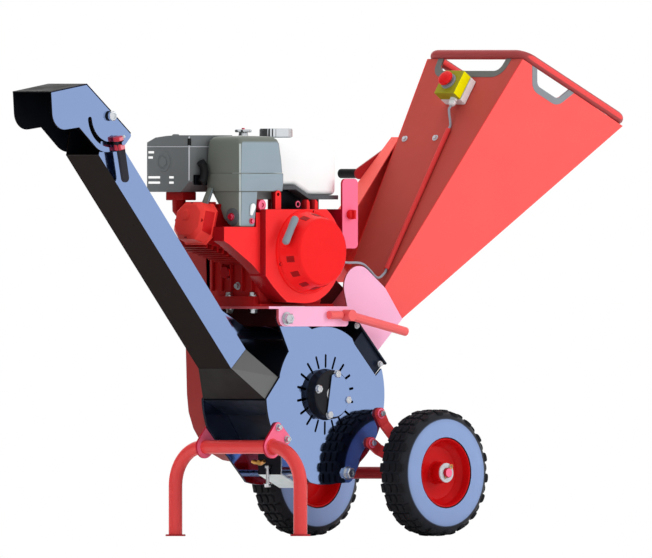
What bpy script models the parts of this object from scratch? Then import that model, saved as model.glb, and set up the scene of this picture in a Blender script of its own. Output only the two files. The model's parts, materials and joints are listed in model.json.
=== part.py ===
"""Compact garden shredder: petrol engine, belt drive, knife rotor, hopper, discharge chute and wheels.

Metres, +Z up. +X points to the wheels and the hopper, -X to the discharge chute and the stand,
-Y is the near side, with the recoil starter, and +Y the far side, with the belt guard.
The origin lies on the ground under the middle of the machine.
"""

import math

import bmesh
import bpy
from mathutils import Matrix, Vector

# Clearances
GAP = 0.0003
RUNNING = 0.002
BITE = 0.001
TUCK = 0.0002

# Wheels and axle
AXLE_X = 0.2213
WHEEL_RADIUS = 0.155
WHEEL_WIDTH = 0.084
TRACK = 0.445
TYRE_BEAD = 0.079
HUB_RADIUS = 0.024
HUB_LENGTH = 0.080
RIM_WIDTH = 0.062
RIM_SHEET = 0.004
AXLE_RADIUS = 0.012
AXLE_END = 0.012
STRUT_WIDTH = 0.028
STRUT_THICKNESS = 0.008
STRUT_CLEARANCE = 0.0215
STRUT_OUT = TRACK / 2 - RIM_WIDTH / 2 - STRUT_CLEARANCE
STRUT_BOSS = 0.024
STRUT_BOSS_LENGTH = 0.012
AXLE_WASHER = 0.004
STRUT_PADS = ((0.185, -0.0465), (0.154, -0.1185))

# Rotor and its housing
ROTOR_BACK = 0.267
ROTOR_HEIGHT = 0.3465
HOUSING_HALF = 0.107
PLATE = 0.006
SHEET = 0.004
ROTOR_RADIUS = 0.100
KNIFE_RADIUS = 0.116
KNIFE_THICKNESS = 0.012
ROTOR_CLEARANCE = 0.007
ROTOR_HALF = HOUSING_HALF - ROTOR_CLEARANCE
SHAFT_RADIUS = 0.020
SHAFT_HOLE = 0.030
CASING_RADIUS = 0.130
PLATE_TOP_RADIUS = 0.166
PLATE_RADIUS = 0.205
PLATE_BOTTOM_RADIUS = 0.221
LOBE_RADIUS = 0.0235
UPPER_LOBE = (-0.143, 0.1855)
LOWER_LOBE = (0.077, -0.1925)
SLOT_COUNT = 18
SLOT_TURN = 9.0
SLOT_INNER = 0.066
SLOT_OUTER = 0.098
SLOT_WIDTH = 0.0045
BEARING_FLANGE = 0.064
BEARING_HOUSING = 0.040
BEARING_PROUD = 0.031
BEARING_FLANGE_THICKNESS = 0.012
BEARING_BOLT_CIRCLE = 0.052
BEARING_BOLT_TURN = 75.0

# Fasteners
BOLT_RADIUS = 0.008
BOLT_FLATS = 0.024
BOLT_HEAD = 0.013
WASHER_RADIUS = 0.0165
WASHER_THICKNESS = 0.003
SMALL_BOLT_RADIUS = 0.005
SMALL_HEAD_RADIUS = 0.009
SMALL_HEAD = 0.006
BOLT_CLEARANCE = 0.0005

# Discharge chute and its deflector hood
CHUTE_HALF = 0.057
CHUTE_FOOT_LOW = (-0.269, 0.0635)
CHUTE_FOOT_HIGH = (-0.219, 0.1105)
CHUTE_HEAD_LOW = (-0.727, 0.5855)
CHUTE_HEAD_HIGH = (-0.642, 0.6015)
OUTLET_LOW = (-0.203, -0.011)
OUTLET_HIGH = (-0.157, 0.042)
CHUTE_WALL = 0.003
PIVOT = (-0.698, 0.6815)
PIVOT_EAR = 0.0092
PIVOT_SPACER = 0.0082
PIVOT_PIN = 0.006
DEFLECTOR_HALF = 0.0667
SLOT_RADIUS = 0.070
SLOT_FROM = -173.0
SLOT_TO = -66.5
SLOT_HALF = 0.0065
CLAMP_ANGLE = -72.0
CLAMP_STUD = 0.005
CLAMP_LEVER_LENGTH = 0.085
CLAMP_LEVER_WIDTH = 0.022

# Infeed and hopper
FEED_ANGLE = 43.7
COLLAR_FROM = 0.135
CUT_AT = 0.158
FLANGE_AT = 0.2028
FLANGE_THICKNESS = 0.004
FLANGE_LOW = -0.093
FLANGE_HIGH = 0.060
COLLAR_LOW = -0.088
COLLAR_HIGH = 0.019
INFEED_LOW = -0.0705
INFEED_HIGH = 0.0165
INFEED_HALF = 0.070
CHEEK = 0.004
CHEEK_LOBE = (0.294, 0.082)
CHEEK_LOBE_RADIUS = 0.052
CURTAIN_AT = 0.300
CURTAIN_THICKNESS = 0.004
CURTAIN_LENGTH = 0.100
THROAT_LEAN = 0.0004
THROAT_HIGH = (0.2475, 0.2595)
THROAT_LOW = (0.3056, 0.1850)
MOUTH_HIGH = (0.634, 0.8195)
MOUTH_LOW = (0.976, 0.6595)
MOUTH_HALF = 0.1625
WALL = 0.003
RIM_RADIUS = 0.0125
RIM_BEND = 0.030
HAND_DEPTH = 0.036
HAND_ROUND = 0.020
UPPER_HAND_HALF = 0.108
SIDE_HAND_FROM = 0.052
SIDE_HAND_TO = 0.173
SIDE_HAND_SLANT = 0.022

# Emergency stop and its cable, placed from the middle of the mouth edge down the upper wall
STOP_DOWN = 0.103
STOP_ASIDE = -0.010
STOP_SIDE = 0.068
STOP_HEIGHT = 0.051
BUTTON_RADIUS = 0.020
BUTTON_TRAVEL = 0.006
BUTTON_STEM = 0.009
GLAND_RADIUS = 0.009
GLAND_LENGTH = 0.020
GLAND_ASIDE = -0.027
CABLE_RADIUS = 0.003
CONDUIT_RADIUS = 0.006
CONDUIT_BORE = 0.0042
CONDUIT_START = (0.213, -0.0345)
CONDUIT_END = (0.630, -0.0555)

# Box section and control lever on the far side
BRACE_FROM = 0.400
BRACE_TO = 0.800
BRACE_LOW = -0.003
BRACE_HIGH = 0.107
BRACE_OUT = 0.163
BRACE_WALL = 0.003
LEVER_PIVOT = (0.502, 0.5885)
LEVER_END = (0.396, 0.5405)
LEVER_THICKNESS = 0.006
LEVER_HUB = 0.020
LEVER_TIP = 0.014
GRIP_RADIUS = 0.0115
GRIP_LENGTH = 0.060

# Engine deck and its tension lever
DECK_RISE = 0.2155
DECK_TOP = ROTOR_HEIGHT + DECK_RISE
DECK_THICKNESS = 0.006
DECK_LEFT = 0.470
DECK_RIGHT = 0.195
RAIL_LEFT = 0.436
RAIL_DEPTH = 0.049
RAIL_THICKNESS = 0.008
RAIL_STUB_FROM = -0.270
RAIL_STUB_TO = -0.229
RAIL_STUB_DROP = 0.021
RAIL_STUB_RADIUS = 0.010
TENSION_PIVOT = (-0.209, DECK_TOP - 0.022)
TENSION_TIP = (-0.013, DECK_TOP - 0.062)
TENSION_RADIUS = 0.011

# Engine, placed from its crankshaft: the heights of its covers, tank and filter are counted from there
CRANK_BACK = 0.350
FAN_RADIUS = 0.127
FAN_CLEARANCE = 0.007
CRANK_HEIGHT = DECK_TOP + FAN_CLEARANCE + FAN_RADIUS
CRANK_RADIUS = 0.0125
CASE_LEFT = 0.105
CASE_RIGHT = 0.115
CASE_NEAR = 0.072
CASE_FAR = 0.105
CASE_TOP = CRANK_HEIGHT + 0.101
FOOT_LEFT = 0.120
FOOT_RIGHT = 0.135
FOOT_NEAR = 0.090
FOOT_THICKNESS = 0.006
FOOT_BLOCK_HALF = 0.069
FOOT_BLOCK_TOP = DECK_TOP + 0.025
FAN_FRONT = 0.129
FAN_TOP = 0.104
FAN_EDGE = 0.006
FAN_CORNERS = ((-0.139, FAN_TOP), (-0.139, -0.060), (-0.1129, -0.0866), (-0.0886, -0.1072),
               (-0.0643, -0.1244))
DUCT_FRONT = 0.110
DUCT_CORNERS = ((-0.120, -0.041), (-0.120, 0.096), (-0.1535, 0.096), (-0.1535, 0.0605), (-0.264, 0.0605),
                (-0.264, 0.026), (-0.2444, 0.0164), (-0.1667, -0.0317), (-0.130, -0.062))
RECOIL_FRONT = 0.190
RECOIL_FACE = 0.082
RECOIL_FLANGE = 0.104
RECOIL_WALL = 0.003
PULL_ANGLE = 150.0
PULL_GRIP_LENGTH = 0.078
PULL_GRIP_RADIUS = 0.0095
CYLINDER_TILT = 15.0
CYLINDER_FROM = 0.096
CYLINDER_TO = 0.255
CYLINDER_HALF_HEIGHT = 0.058
CYLINDER_CORE = 0.046
CYLINDER_NEAR = 0.045
CYLINDER_FAR = 0.060
FIN_COUNT = 9
FIN_THICKNESS = 0.006
VALVE_COVER_LENGTH = 0.048
VALVE_COVER_HALF = 0.052
VALVE_COVER_HALF_WIDTH = 0.054
VALVE_COVER_MIDDLE = -0.011
VALVE_COVER_EDGE = 0.016
MUFFLER_LOW = (-0.6206, 0.005, 0.1458)
MUFFLER_HIGH = (-0.4700, 0.150, 0.285)
CLEANER_LOW = (-0.559, -0.110, 0.1465)
CLEANER_HIGH = (-0.424, 0.002, 0.283)
CLEANER_SEAM = 0.192
CLEANER_EDGE = 0.014
FUNNEL_FOOT = ((-0.5586, -0.1096), (-0.5050, -0.0746), 0.0608)
FUNNEL_NECK = ((-0.5586, -0.1096), (-0.5050, -0.0460), 0.104)
FUNNEL_WAIST = ((-0.5588, -0.1098), (-0.5030, -0.0457), 0.1015)
FUNNEL_HEAD = ((-0.5588, -0.1098), (-0.4730, -0.0457), 0.154)
SHOULDER_FOOT = ((-0.5520, -0.1080), (-0.4955, -0.0470), 0.1175)
SHOULDER_HEAD = ((-0.5520, -0.1080), (-0.4740, -0.0080), 0.153)
CARB_BLOCK = ((-0.545, 0.076), (-0.512, 0.094))
TANK_NEAR = 0.085
TANK_FAR = 0.135
TANK_TOP = 0.278
TANK_EDGE = 0.016
TANK_SHAPE = ((-0.414, 0.162), (-0.345, 0.162), (-0.2975, 0.138), (-0.1985, 0.138), (-0.1985, 0.249),
              (-0.235, 0.271), (-0.280, TANK_TOP), (-0.414, TANK_TOP))
TANK_POSTS = ((-0.375, 0.162), (-0.262, 0.138))
TANK_POST_Y = (-0.045, 0.080)
TANK_POST_RADIUS = 0.008
CAP_AT = (-0.3246, 0.0)
CAP_RADIUS = 0.0405
CAP_HEIGHT = 0.0235
SWITCH_LEFT = 0.208
SWITCH_RIGHT = 0.154
SWITCH_LOW = 0.0075
SWITCH_HIGH = 0.1785
SWITCH_FRONT = 0.1133
SWITCH_KNOB = (-0.182, 0.0907)
SWITCH_KNOB_RADIUS = 0.012
CHOKE_AT = (-0.516, 0.11)
CHOKE_LENGTH = 0.018

# Belt drive
PULLEY_WIDTH = 0.034
PULLEY_GAP = 0.007
BELT_Y = HOUSING_HALF + PLATE + BEARING_PROUD + PULLEY_GAP + PULLEY_WIDTH / 2
GUARD_FAR = BELT_Y + 0.032
GUARD_LOW_RADIUS = 0.165
GUARD_HIGH_RADIUS = 0.095
GUARD_WALL = 0.003
BELT_WIDTH = 0.022
BELT_THICKNESS = 0.010
ROTOR_PULLEY = 0.080
ENGINE_PULLEY = 0.050
GROOVE_DEPTH = 0.008
SHAFT_END = BELT_Y + 0.024

# Stand
STAND_BACK = 0.456
STAND_LEG = 0.216
STAND_HEIGHT = 0.218
STAND_TUBE = 0.01685
STAND_BEND = 0.095
FOOT_RADIUS = 0.0245
FOOT_DISC = 0.005
STAND_BRACKET_RING = 0.028
STAND_BOLTS = ((-0.169, -0.0805), (-0.139, -0.1095))

# Bracket under the housing
UNDER_BRACKET_HALF = 0.040
UNDER_BRACKET_SHEET = 0.004
UNDER_BRACKET_TURN = 235.5
UNDER_BRACKET_BEND = -0.196
UNDER_BRACKET_TIP = (-0.005, -0.229)

ROUND = 16
FINE = 24
WHEEL_STEPS = 32


# The frame of reference
ROTOR_X = AXLE_X - ROTOR_BACK
CRANK_X = AXLE_X - CRANK_BACK
PLATE_OUT = HOUSING_HALF + PLATE
SHANK_IN = HOUSING_HALF - 0.002
RAIL_IN = PLATE_OUT + GAP
RAIL_OUT = RAIL_IN + RAIL_THICKNESS
FEED = math.radians(FEED_ANGLE)
FEED_S = Vector((math.cos(FEED), 0.0, math.sin(FEED)))
FEED_T = Vector((-math.sin(FEED), 0.0, math.cos(FEED)))


def from_rotor(point, y=0.0):
    """World place of a point given along X and Z from the rotor's axis."""
    return Vector((ROTOR_X + point[0], y, ROTOR_HEIGHT + point[1]))


def from_axle(x, y, z):
    """World place of a point whose X is counted from the wheel axle."""
    return Vector((AXLE_X + x, y, z))


def in_feed(s, t):
    """X and Z from the rotor's axis of a point s along the infeed and t above its middle line."""
    place = FEED_S * s + FEED_T * t
    return (place.x, place.z)


# Materials
def finish(name, colour, roughness, metallic=0.0):
    """A plain Principled material."""
    material = bpy.data.materials.new(name)
    material.use_nodes = True
    shader = material.node_tree.nodes["Principled BSDF"]
    shader.inputs["Base Color"].default_value = (*colour, 1.0)
    shader.inputs["Roughness"].default_value = roughness
    shader.inputs["Metallic"].default_value = metallic
    return material


for leftover in list(bpy.data.objects):
    bpy.data.objects.remove(leftover)

machine = bpy.data.collections.new("compact_garden_shredder")
cutters = bpy.data.collections.new("cutters")
bpy.context.scene.collection.children.link(machine)
bpy.context.scene.collection.children.link(cutters)

RED = finish("red_gloss_paint", (0.72, 0.012, 0.012), 0.25)
DARK_RED = finish("red_powder_coat", (0.46, 0.03, 0.035), 0.35)
HOPPER_RED = finish("hopper_red_coat", (0.80, 0.10, 0.09), 0.4)
PINK = finish("pale_red_coat", (0.85, 0.33, 0.45), 0.4)
BLACK = finish("black_gloss_coat", (0.02, 0.02, 0.028), 0.25, 0.3)
BLUE_BLACK = finish("blue_black_coat", (0.26, 0.36, 0.62), 0.3, 0.3)
RUBBER = finish("black_rubber", (0.012, 0.012, 0.014), 0.8)
GREY_PLASTIC = finish("grey_plastic", (0.38, 0.42, 0.45), 0.45)
WHITE_PLASTIC = finish("white_tank_paint", (0.75, 0.76, 0.77), 0.3)
STEEL = finish("zinc_plated_steel", (0.6, 0.62, 0.65), 0.3, 1.0)
DARK_STEEL = finish("dark_steel", (0.12, 0.12, 0.13), 0.45, 0.9)
CHROME = finish("chrome", (0.75, 0.76, 0.78), 0.12, 1.0)
YELLOW = finish("yellow_plastic", (0.95, 0.85, 0.02), 0.4)
CABLE_GREY = finish("grey_cable_sheath", (0.32, 0.34, 0.38), 0.5)


# Modelling helpers
def keep(name, mesh, material, collection=None):
    """An object of this name from a mesh in world coordinates."""
    thing = bpy.data.objects.new(name, mesh)
    mesh.materials.clear()
    mesh.materials.append(material)
    (collection or machine).objects.link(thing)
    return thing


def mesh_of(shape):
    """A mesh from a bmesh, shaded smooth with its sharp edges kept."""
    mesh = bpy.data.meshes.new("shape")
    shape.to_mesh(mesh)
    shape.free()
    mesh.shade_smooth()
    mesh.set_sharp_from_angle(angle=math.radians(35))
    return mesh


def curve_mesh(curve, weld):
    """A mesh of a curve, its caps welded to its sides."""
    holder = bpy.data.objects.new("curve", curve)
    machine.objects.link(holder)
    depsgraph = bpy.context.evaluated_depsgraph_get()
    mesh = bpy.data.meshes.new_from_object(holder.evaluated_get(depsgraph))
    bpy.data.objects.remove(holder)
    shape = bmesh.new()
    shape.from_mesh(mesh)
    bmesh.ops.remove_doubles(shape, verts=shape.verts, dist=weld)
    return mesh_of(shape)


def flat(splines, thickness, matrix):
    """A flat outline, with any holes, of this thickness on both sides of the matrix's XY plane."""
    curve = bpy.data.curves.new("outline", "CURVE")
    curve.dimensions = "2D"
    curve.fill_mode = "BOTH"
    curve.extrude = thickness / 2
    for points in splines:
        spline = curve.splines.new("POLY")
        spline.points.add(len(points) - 1)
        for knot, (u, v) in zip(spline.points, points):
            knot.co = (u, v, 0.0, 1.0)
        spline.use_cyclic_u = True
    mesh = curve_mesh(curve, 1e-6)
    mesh.transform(matrix)
    return mesh


def plate_xz(splines, y_from, y_to, origin=None):
    """A plate that stands along X and Z, between two values of Y; its points start at the rotor's axis."""
    start = origin or Vector((ROTOR_X, 0.0, ROTOR_HEIGHT))
    axes = Matrix(((1, 0, 0, start.x), (0, 0, -1, (y_from + y_to) / 2), (0, 1, 0, start.z), (0, 0, 0, 1)))
    return flat(splines, abs(y_to - y_from), axes)


def box(low, high, bevel=0.0, segments=2):
    """A box between two corners, its edges rounded by bevel."""
    low, high = Vector(low), Vector(high)
    shape = bmesh.new()
    bmesh.ops.create_cube(shape, size=1.0)
    size = high - low
    bmesh.ops.scale(shape, verts=shape.verts, vec=size)
    bmesh.ops.translate(shape, verts=shape.verts, vec=(low + high) / 2)
    if bevel:
        bmesh.ops.bevel(shape, geom=list(shape.edges), offset=bevel, segments=segments, profile=0.5,
                        affect="EDGES", clamp_overlap=True)
    return mesh_of(shape)


def rod(start, end, radius, sides=ROUND, end_radius=None):
    """A round or many-sided bar between two points."""
    start, end = Vector(start), Vector(end)
    along = end - start
    shape = bmesh.new()
    bmesh.ops.create_cone(shape, cap_ends=True, segments=sides, radius1=radius,
                          radius2=radius if end_radius is None else end_radius, depth=along.length)
    turn = along.to_track_quat("Z", "Y").to_matrix().to_4x4()
    bmesh.ops.transform(shape, verts=shape.verts, matrix=Matrix.Translation((start + end) / 2) @ turn)
    return mesh_of(shape)


def bar_y(point, y_from, y_to, radius, sides=ROUND):
    """A bar along Y through a point given along X and Z from the rotor's axis."""
    return rod(from_rotor(point, y_from), from_rotor(point, y_to), radius, sides)


def turned(name, profile, base, direction, material, steps=FINE, closed=False):
    """A turned piece: radius and height pairs that run down the outer side, set up along a direction."""
    mesh = bpy.data.meshes.new(name)
    edges = [(i, i + 1) for i in range(len(profile) - 1)]
    if closed:
        edges.append((len(profile) - 1, 0))
    mesh.from_pydata([(radius, 0.0, height) for radius, height in profile], edges, [])
    thing = keep(name, mesh, material)
    thing.location = base
    thing.rotation_mode = "QUATERNION"
    thing.rotation_quaternion = Vector(direction).to_track_quat("Z", "Y")
    spin = thing.modifiers.new("turn", "SCREW")
    spin.axis = "Z"
    spin.angle = math.tau
    spin.steps = steps
    spin.render_steps = steps
    spin.use_merge_vertices = True
    spin.merge_threshold = 0.00001
    spin.use_smooth_shade = True
    return thing


def fuse(thing, *meshes):
    """Joins more shapes, in world coordinates, to a piece."""
    for index, mesh in enumerate(meshes):
        combine(thing, mesh, "UNION", f"{thing.name}_add_{index}")
    return thing


def cut(thing, *meshes):
    """Cuts shapes, in world coordinates, out of a piece."""
    for index, mesh in enumerate(meshes):
        combine(thing, mesh, "DIFFERENCE", f"{thing.name}_cut_{index}")
    return thing


def combine(thing, mesh, operation, label):
    """One Boolean on a piece, its operand kept with the cutters."""
    operand = keep(label, mesh, thing.data.materials[0], cutters)
    operand.hide_render = True
    operand.display_type = "WIRE"
    change = thing.modifiers.new(label, "BOOLEAN")
    change.operation = operation
    change.solver = "EXACT"
    change.object = operand


def arc(centre, radius, start, end, steps):
    """Points on an arc, the angles in degrees."""
    turns = [math.radians(start + (end - start) * i / steps) for i in range(steps + 1)]
    return [(centre[0] + radius * math.cos(a), centre[1] + radius * math.sin(a)) for a in turns]


def circle(centre, radius, sides=ROUND):
    """Points round a whole circle."""
    return arc(centre, radius, 0.0, 360.0, sides)[:-1]


def hull(points):
    """The outline that a band stretched round flat points takes, anticlockwise."""
    def half(ordered):
        chain = []
        for p in ordered:
            while len(chain) > 1 and turn_of(chain[-2], chain[-1], p) <= 1e-12:
                chain.pop()
            chain.append(p)
        return chain[:-1]

    ordered = sorted(set(points))
    return half(ordered) + half(ordered[::-1])


def turn_of(a, b, c):
    """Twice the area of a flat triangle, positive when it turns left."""
    return (b[0] - a[0]) * (c[1] - a[1]) - (b[1] - a[1]) * (c[0] - a[0])


def rounded(points, radius, steps=4, closed=True):
    """A path whose corners are arcs; radius is one value or one for each corner."""
    count = len(points)
    radii = radius if isinstance(radius, (list, tuple)) else [radius] * count
    result = []
    for index, corner in enumerate(points):
        corner = Vector(corner)
        at_end = not closed and index in (0, count - 1)
        if at_end or radii[index] <= 0:
            result.append(tuple(corner))
            continue
        before = (Vector(points[index - 1]) - corner).normalized()
        after = (Vector(points[(index + 1) % count]) - corner).normalized()
        half = before.angle(after) / 2
        reach = radii[index] / math.tan(half)
        middle = corner + (before + after).normalized() * (radii[index] / math.sin(half))
        first = corner + before * reach - middle
        last = corner + after * reach - middle
        sweep = first.angle(last)
        for step in range(steps + 1):
            share = step / steps
            bent = (first * math.sin(sweep * (1 - share)) + last * math.sin(sweep * share)) / math.sin(sweep)
            result.append(tuple(middle + bent))
    return result


def ribbon(points, thickness):
    """The outline of a bent sheet: a path of flat points and its copy, thickness to the left."""
    path = [Vector(p) for p in points]
    sides = []
    for index, here in enumerate(path):
        before = (here - path[index - 1]).normalized() if index else None
        after = (path[index + 1] - here).normalized() if index + 1 < len(path) else None
        along = (before or after) + (after or before)
        along.normalize()
        left = Vector((-along.y, along.x))
        share = left.dot(Vector((-(before or after).y, (before or after).x)))
        sides.append(here + left * (thickness / share))
    return [tuple(p) for p in path] + [tuple(p) for p in reversed(sides)]


def tube(points, radius, closed=False, resolution=3):
    """A round bar along a path of world points."""
    curve = bpy.data.curves.new("path", "CURVE")
    curve.dimensions = "3D"
    curve.bevel_depth = radius
    curve.bevel_resolution = resolution
    curve.use_fill_caps = True
    spline = curve.splines.new("POLY")
    spline.points.add(len(points) - 1)
    for knot, place in zip(spline.points, points):
        knot.co = (*place, 1.0)
    spline.use_cyclic_u = closed
    return curve_mesh(curve, 1e-6)


def smooth_path(points, step):
    """Evenly spaced points on the smooth curve that passes through some chosen ones."""
    chosen = [Vector(p) for p in points]
    padded = [chosen[0] * 2 - chosen[1], *chosen, chosen[-1] * 2 - chosen[-2]]
    fine = []
    for a, b, c, d in zip(padded, padded[1:], padded[2:], padded[3:]):
        for index in range(24):
            t = index / 24
            fine.append(0.5 * (2 * b + (c - a) * t + (2 * a - 5 * b + 4 * c - d) * t * t
                               + (3 * b - a - 3 * c + d) * t ** 3))
    fine.append(chosen[-1])
    lengths = [(q - p).length for p, q in zip(fine, fine[1:])]
    count = max(2, round(sum(lengths) / step))
    spacing = sum(lengths) / count
    even, walked, target = [fine[0]], 0.0, spacing
    for p, q, length in zip(fine, fine[1:], lengths):
        while walked + length >= target and len(even) < count:
            even.append(p.lerp(q, (target - walked) / length))
            target += spacing
        walked += length
    return even + [fine[-1]]


def convex(points):
    """The convex solid round some world points."""
    shape = bmesh.new()
    for point in points:
        shape.verts.new(point)
    found = bmesh.ops.convex_hull(shape, input=shape.verts)
    inner = [v for v in found["geom_interior"] if isinstance(v, bmesh.types.BMVert)]
    bmesh.ops.delete(shape, geom=inner, context="VERTS")
    bmesh.ops.recalc_face_normals(shape, faces=shape.faces)
    return mesh_of(shape)


def bolt(name, place, direction, grip, material=STEEL, nut=True):
    """A big hexagon bolt with washers: place is under its head, grip the thickness that it clamps."""
    place, direction = Vector(place), Vector(direction).normalized()
    hexagon = BOLT_FLATS / 2 / math.cos(math.pi / 6)
    outer = place + direction * WASHER_THICKNESS
    inner = place - direction * grip
    thing = keep(name, rod(place, outer, WASHER_RADIUS), material)
    reach = WASHER_THICKNESS + BOLT_HEAD
    shank_end = inner - direction * (reach if nut else 0.0)
    fuse(thing, rod(outer - direction * GAP, outer + direction * BOLT_HEAD, hexagon, 6),
         rod(outer + direction * GAP, shank_end, BOLT_RADIUS, 16))
    if nut:
        fuse_more(thing, "nut_washer", rod(inner, inner - direction * WASHER_THICKNESS, WASHER_RADIUS))
        fuse_more(thing, "nut", rod(inner - direction * (WASHER_THICKNESS - GAP),
                                    inner - direction * (WASHER_THICKNESS + BOLT_HEAD * 0.8), hexagon, 6))
    return thing


def fuse_more(thing, label, mesh):
    """Joins one more shape under its own label."""
    combine(thing, mesh, "UNION", f"{thing.name}_{label}")


def hinge_at(name, place, *things):
    """An empty on a joint's axis, with the pieces that turn or slide there as its children."""
    empty = bpy.data.objects.new(name, None)
    empty.location = place
    empty.empty_display_size = 0.05
    machine.objects.link(empty)
    bpy.context.view_layer.update()
    for thing in things:
        world = thing.matrix_world.copy()
        thing.parent = empty
        thing.matrix_parent_inverse = empty.matrix_world.inverted()
        thing.matrix_world = world
    return empty


SIDES = (("near", -1), ("far", 1))


# Housing side plates
def housing_outline():
    """The outline of a housing side plate, from the rotor's axis, anticlockwise."""
    right = arc((0, 0), PLATE_RADIUS, -54, 18, 8)
    infeed_cut = [in_feed(CUT_AT, COLLAR_LOW), in_feed(CUT_AT, COLLAR_HIGH)]
    top = arc((0, 0), PLATE_TOP_RADIUS, 56, 106, 6)
    upper_lobe = arc(UPPER_LOBE, LOBE_RADIUS, 92, 232, 7)
    left = arc((0, 0), PLATE_TOP_RADIUS - RUNNING, 140, 163, 3)
    outlet = [OUTLET_HIGH, OUTLET_LOW]
    lower_left = arc((0, 0), math.hypot(*OUTLET_LOW), 186, 204, 3)
    bottom = arc((0, 0), PLATE_BOTTOM_RADIUS, 256, 280, 3)
    lower_lobe = arc(LOWER_LOBE, LOBE_RADIUS, 262, 320, 3)
    return [*right, *infeed_cut, *top, *upper_lobe, *left, *outlet, *lower_left, *bottom, *lower_lobe]


def vent_slots():
    """The narrow radial slots round the bearing."""
    slots = []
    for index in range(SLOT_COUNT):
        turn = math.radians(SLOT_TURN + 360.0 * index / SLOT_COUNT)
        along, across = Vector((math.cos(turn), math.sin(turn))), Vector((-math.sin(turn), math.cos(turn)))
        corners = ((SLOT_INNER, -1), (SLOT_OUTER, -1), (SLOT_OUTER, 1), (SLOT_INNER, 1))
        slots.append([tuple(along * r + across * side * SLOT_WIDTH / 2) for r, side in corners])
    return slots


def bearing_bolts():
    """The four bolt places of a bearing unit, from the rotor's axis."""
    return [arc((0, 0), BEARING_BOLT_CIRCLE, BEARING_BOLT_TURN + 90 * i, 0, 1)[0] for i in range(4)]


def small_holes(places):
    """Clearance holes for small bolts."""
    return [circle(p, SMALL_BOLT_RADIUS + BOLT_CLEARANCE, 12) for p in places]


def big_hole(place):
    """A clearance hole for a big bolt."""
    return circle(place, BOLT_RADIUS + BOLT_CLEARANCE, 16)


plate_holes = [circle((0, 0), SHAFT_HOLE), big_hole(LOWER_LOBE),
               *small_holes(bearing_bolts()), *small_holes(STRUT_PADS), *small_holes(STAND_BOLTS)]
plate_splines = [housing_outline(), big_hole(UPPER_LOBE), *plate_holes]
keep("near_side_plate", plate_xz(plate_splines + vent_slots(), -PLATE_OUT, -HOUSING_HALF), BLUE_BLACK)
keep("far_side_plate", plate_xz(plate_splines, HOUSING_HALF, PLATE_OUT), BLACK)


# Casing sheets between the side plates
sheet_half = HOUSING_HALF - GAP
floor_line = [in_feed(COLLAR_FROM - 0.012, COLLAR_LOW - SHEET - GAP),
              *arc((0, 0), CASING_RADIUS + SHEET, -12, -124, 14),
              (-0.117, -0.047 - SHEET), (OUTLET_LOW[0] + 0.001, OUTLET_LOW[1] - SHEET)]
keep("casing_lower_sheet", plate_xz([ribbon(floor_line[::-1], SHEET)], -sheet_half, sheet_half), DARK_STEEL)
roof_line = [in_feed(COLLAR_FROM - RUNNING, COLLAR_HIGH + GAP),
             *arc((0, 0), CASING_RADIUS + 0.006, 62, 158, 12),
             (OUTLET_HIGH[0] + 0.001, OUTLET_HIGH[1] + GAP)]
keep("casing_upper_sheet", plate_xz([ribbon(roof_line[::-1], -SHEET)[::-1]], -sheet_half, sheet_half),
     DARK_STEEL)


# Bearing units, shaft, rotor and pulley
def bearing(side_name, side):
    """A flanged bearing unit bolted to a side plate."""
    start = PLATE_OUT + GAP
    bore = SHAFT_RADIUS + GAP
    profile = [(bore, BEARING_PROUD), (BEARING_HOUSING - 0.006, BEARING_PROUD),
               (BEARING_HOUSING, BEARING_PROUD - 0.006), (BEARING_HOUSING + 0.004, BEARING_FLANGE_THICKNESS),
               (BEARING_FLANGE, BEARING_FLANGE_THICKNESS - 0.002), (BEARING_FLANGE, 0.0), (bore, 0.0)]
    unit = turned(f"{side_name}_bearing", profile, (ROTOR_X, side * start, ROTOR_HEIGHT), (0, side, 0),
                  DARK_STEEL, closed=True)
    for index, place in enumerate(bearing_bolts()):
        y_in = side * SHANK_IN
        y_out = side * (start + BEARING_FLANGE_THICKNESS + SMALL_HEAD)
        head_foot = side * (start + BEARING_FLANGE_THICKNESS - 0.004)
        fuse_more(unit, f"shank_{index}", bar_y(place, y_in, side * (start + BITE), SMALL_BOLT_RADIUS, 12))
        fuse_more(unit, f"head_{index}", bar_y(place, head_foot, y_out, SMALL_HEAD_RADIUS, 6))
    return unit


for side_name, side in SIDES:
    bearing(side_name, side)

near_shaft_end = PLATE_OUT + BEARING_PROUD + 0.006
shaft = keep("rotor_shaft", bar_y((0, 0), -near_shaft_end, SHAFT_END, SHAFT_RADIUS), STEEL)
rotor_profile = [(SHAFT_RADIUS + GAP, ROTOR_HALF), (ROTOR_RADIUS, ROTOR_HALF),
                 (ROTOR_RADIUS, -ROTOR_HALF), (SHAFT_RADIUS + GAP, -ROTOR_HALF)]
rotor = turned("rotor", rotor_profile, from_rotor((0, 0)), (0, 1, 0), DARK_STEEL, closed=True)
for knife in (-1, 1):
    low = ROTOR_RADIUS - 0.020
    corners = [(knife * low, -KNIFE_THICKNESS / 2), (knife * KNIFE_RADIUS, -KNIFE_THICKNESS / 2),
               (knife * KNIFE_RADIUS, 0.0), (knife * low, KNIFE_THICKNESS / 2)]
    fuse_more(rotor, f"knife_{knife + 1}", plate_xz([corners], -ROTOR_HALF + RUNNING, ROTOR_HALF - RUNNING))


def pulley(name, radius, bore, place, material=DARK_STEEL):
    """A grooved pulley on a shaft along Y."""
    half, groove = PULLEY_WIDTH / 2, BELT_WIDTH / 2 + GAP
    profile = [(bore, half), (radius, half), (radius, groove), (radius - GROOVE_DEPTH, groove),
               (radius - GROOVE_DEPTH, -groove), (radius, -groove), (radius, -half), (bore, -half)]
    return turned(name, profile, place, (0, 1, 0), material, closed=True)


rotor_pulley = pulley("rotor_pulley", ROTOR_PULLEY, SHAFT_RADIUS + GAP, from_rotor((0, 0), BELT_Y))
hinge_at("rotor_axis", from_rotor((0, 0)), shaft, rotor, rotor_pulley)

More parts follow.
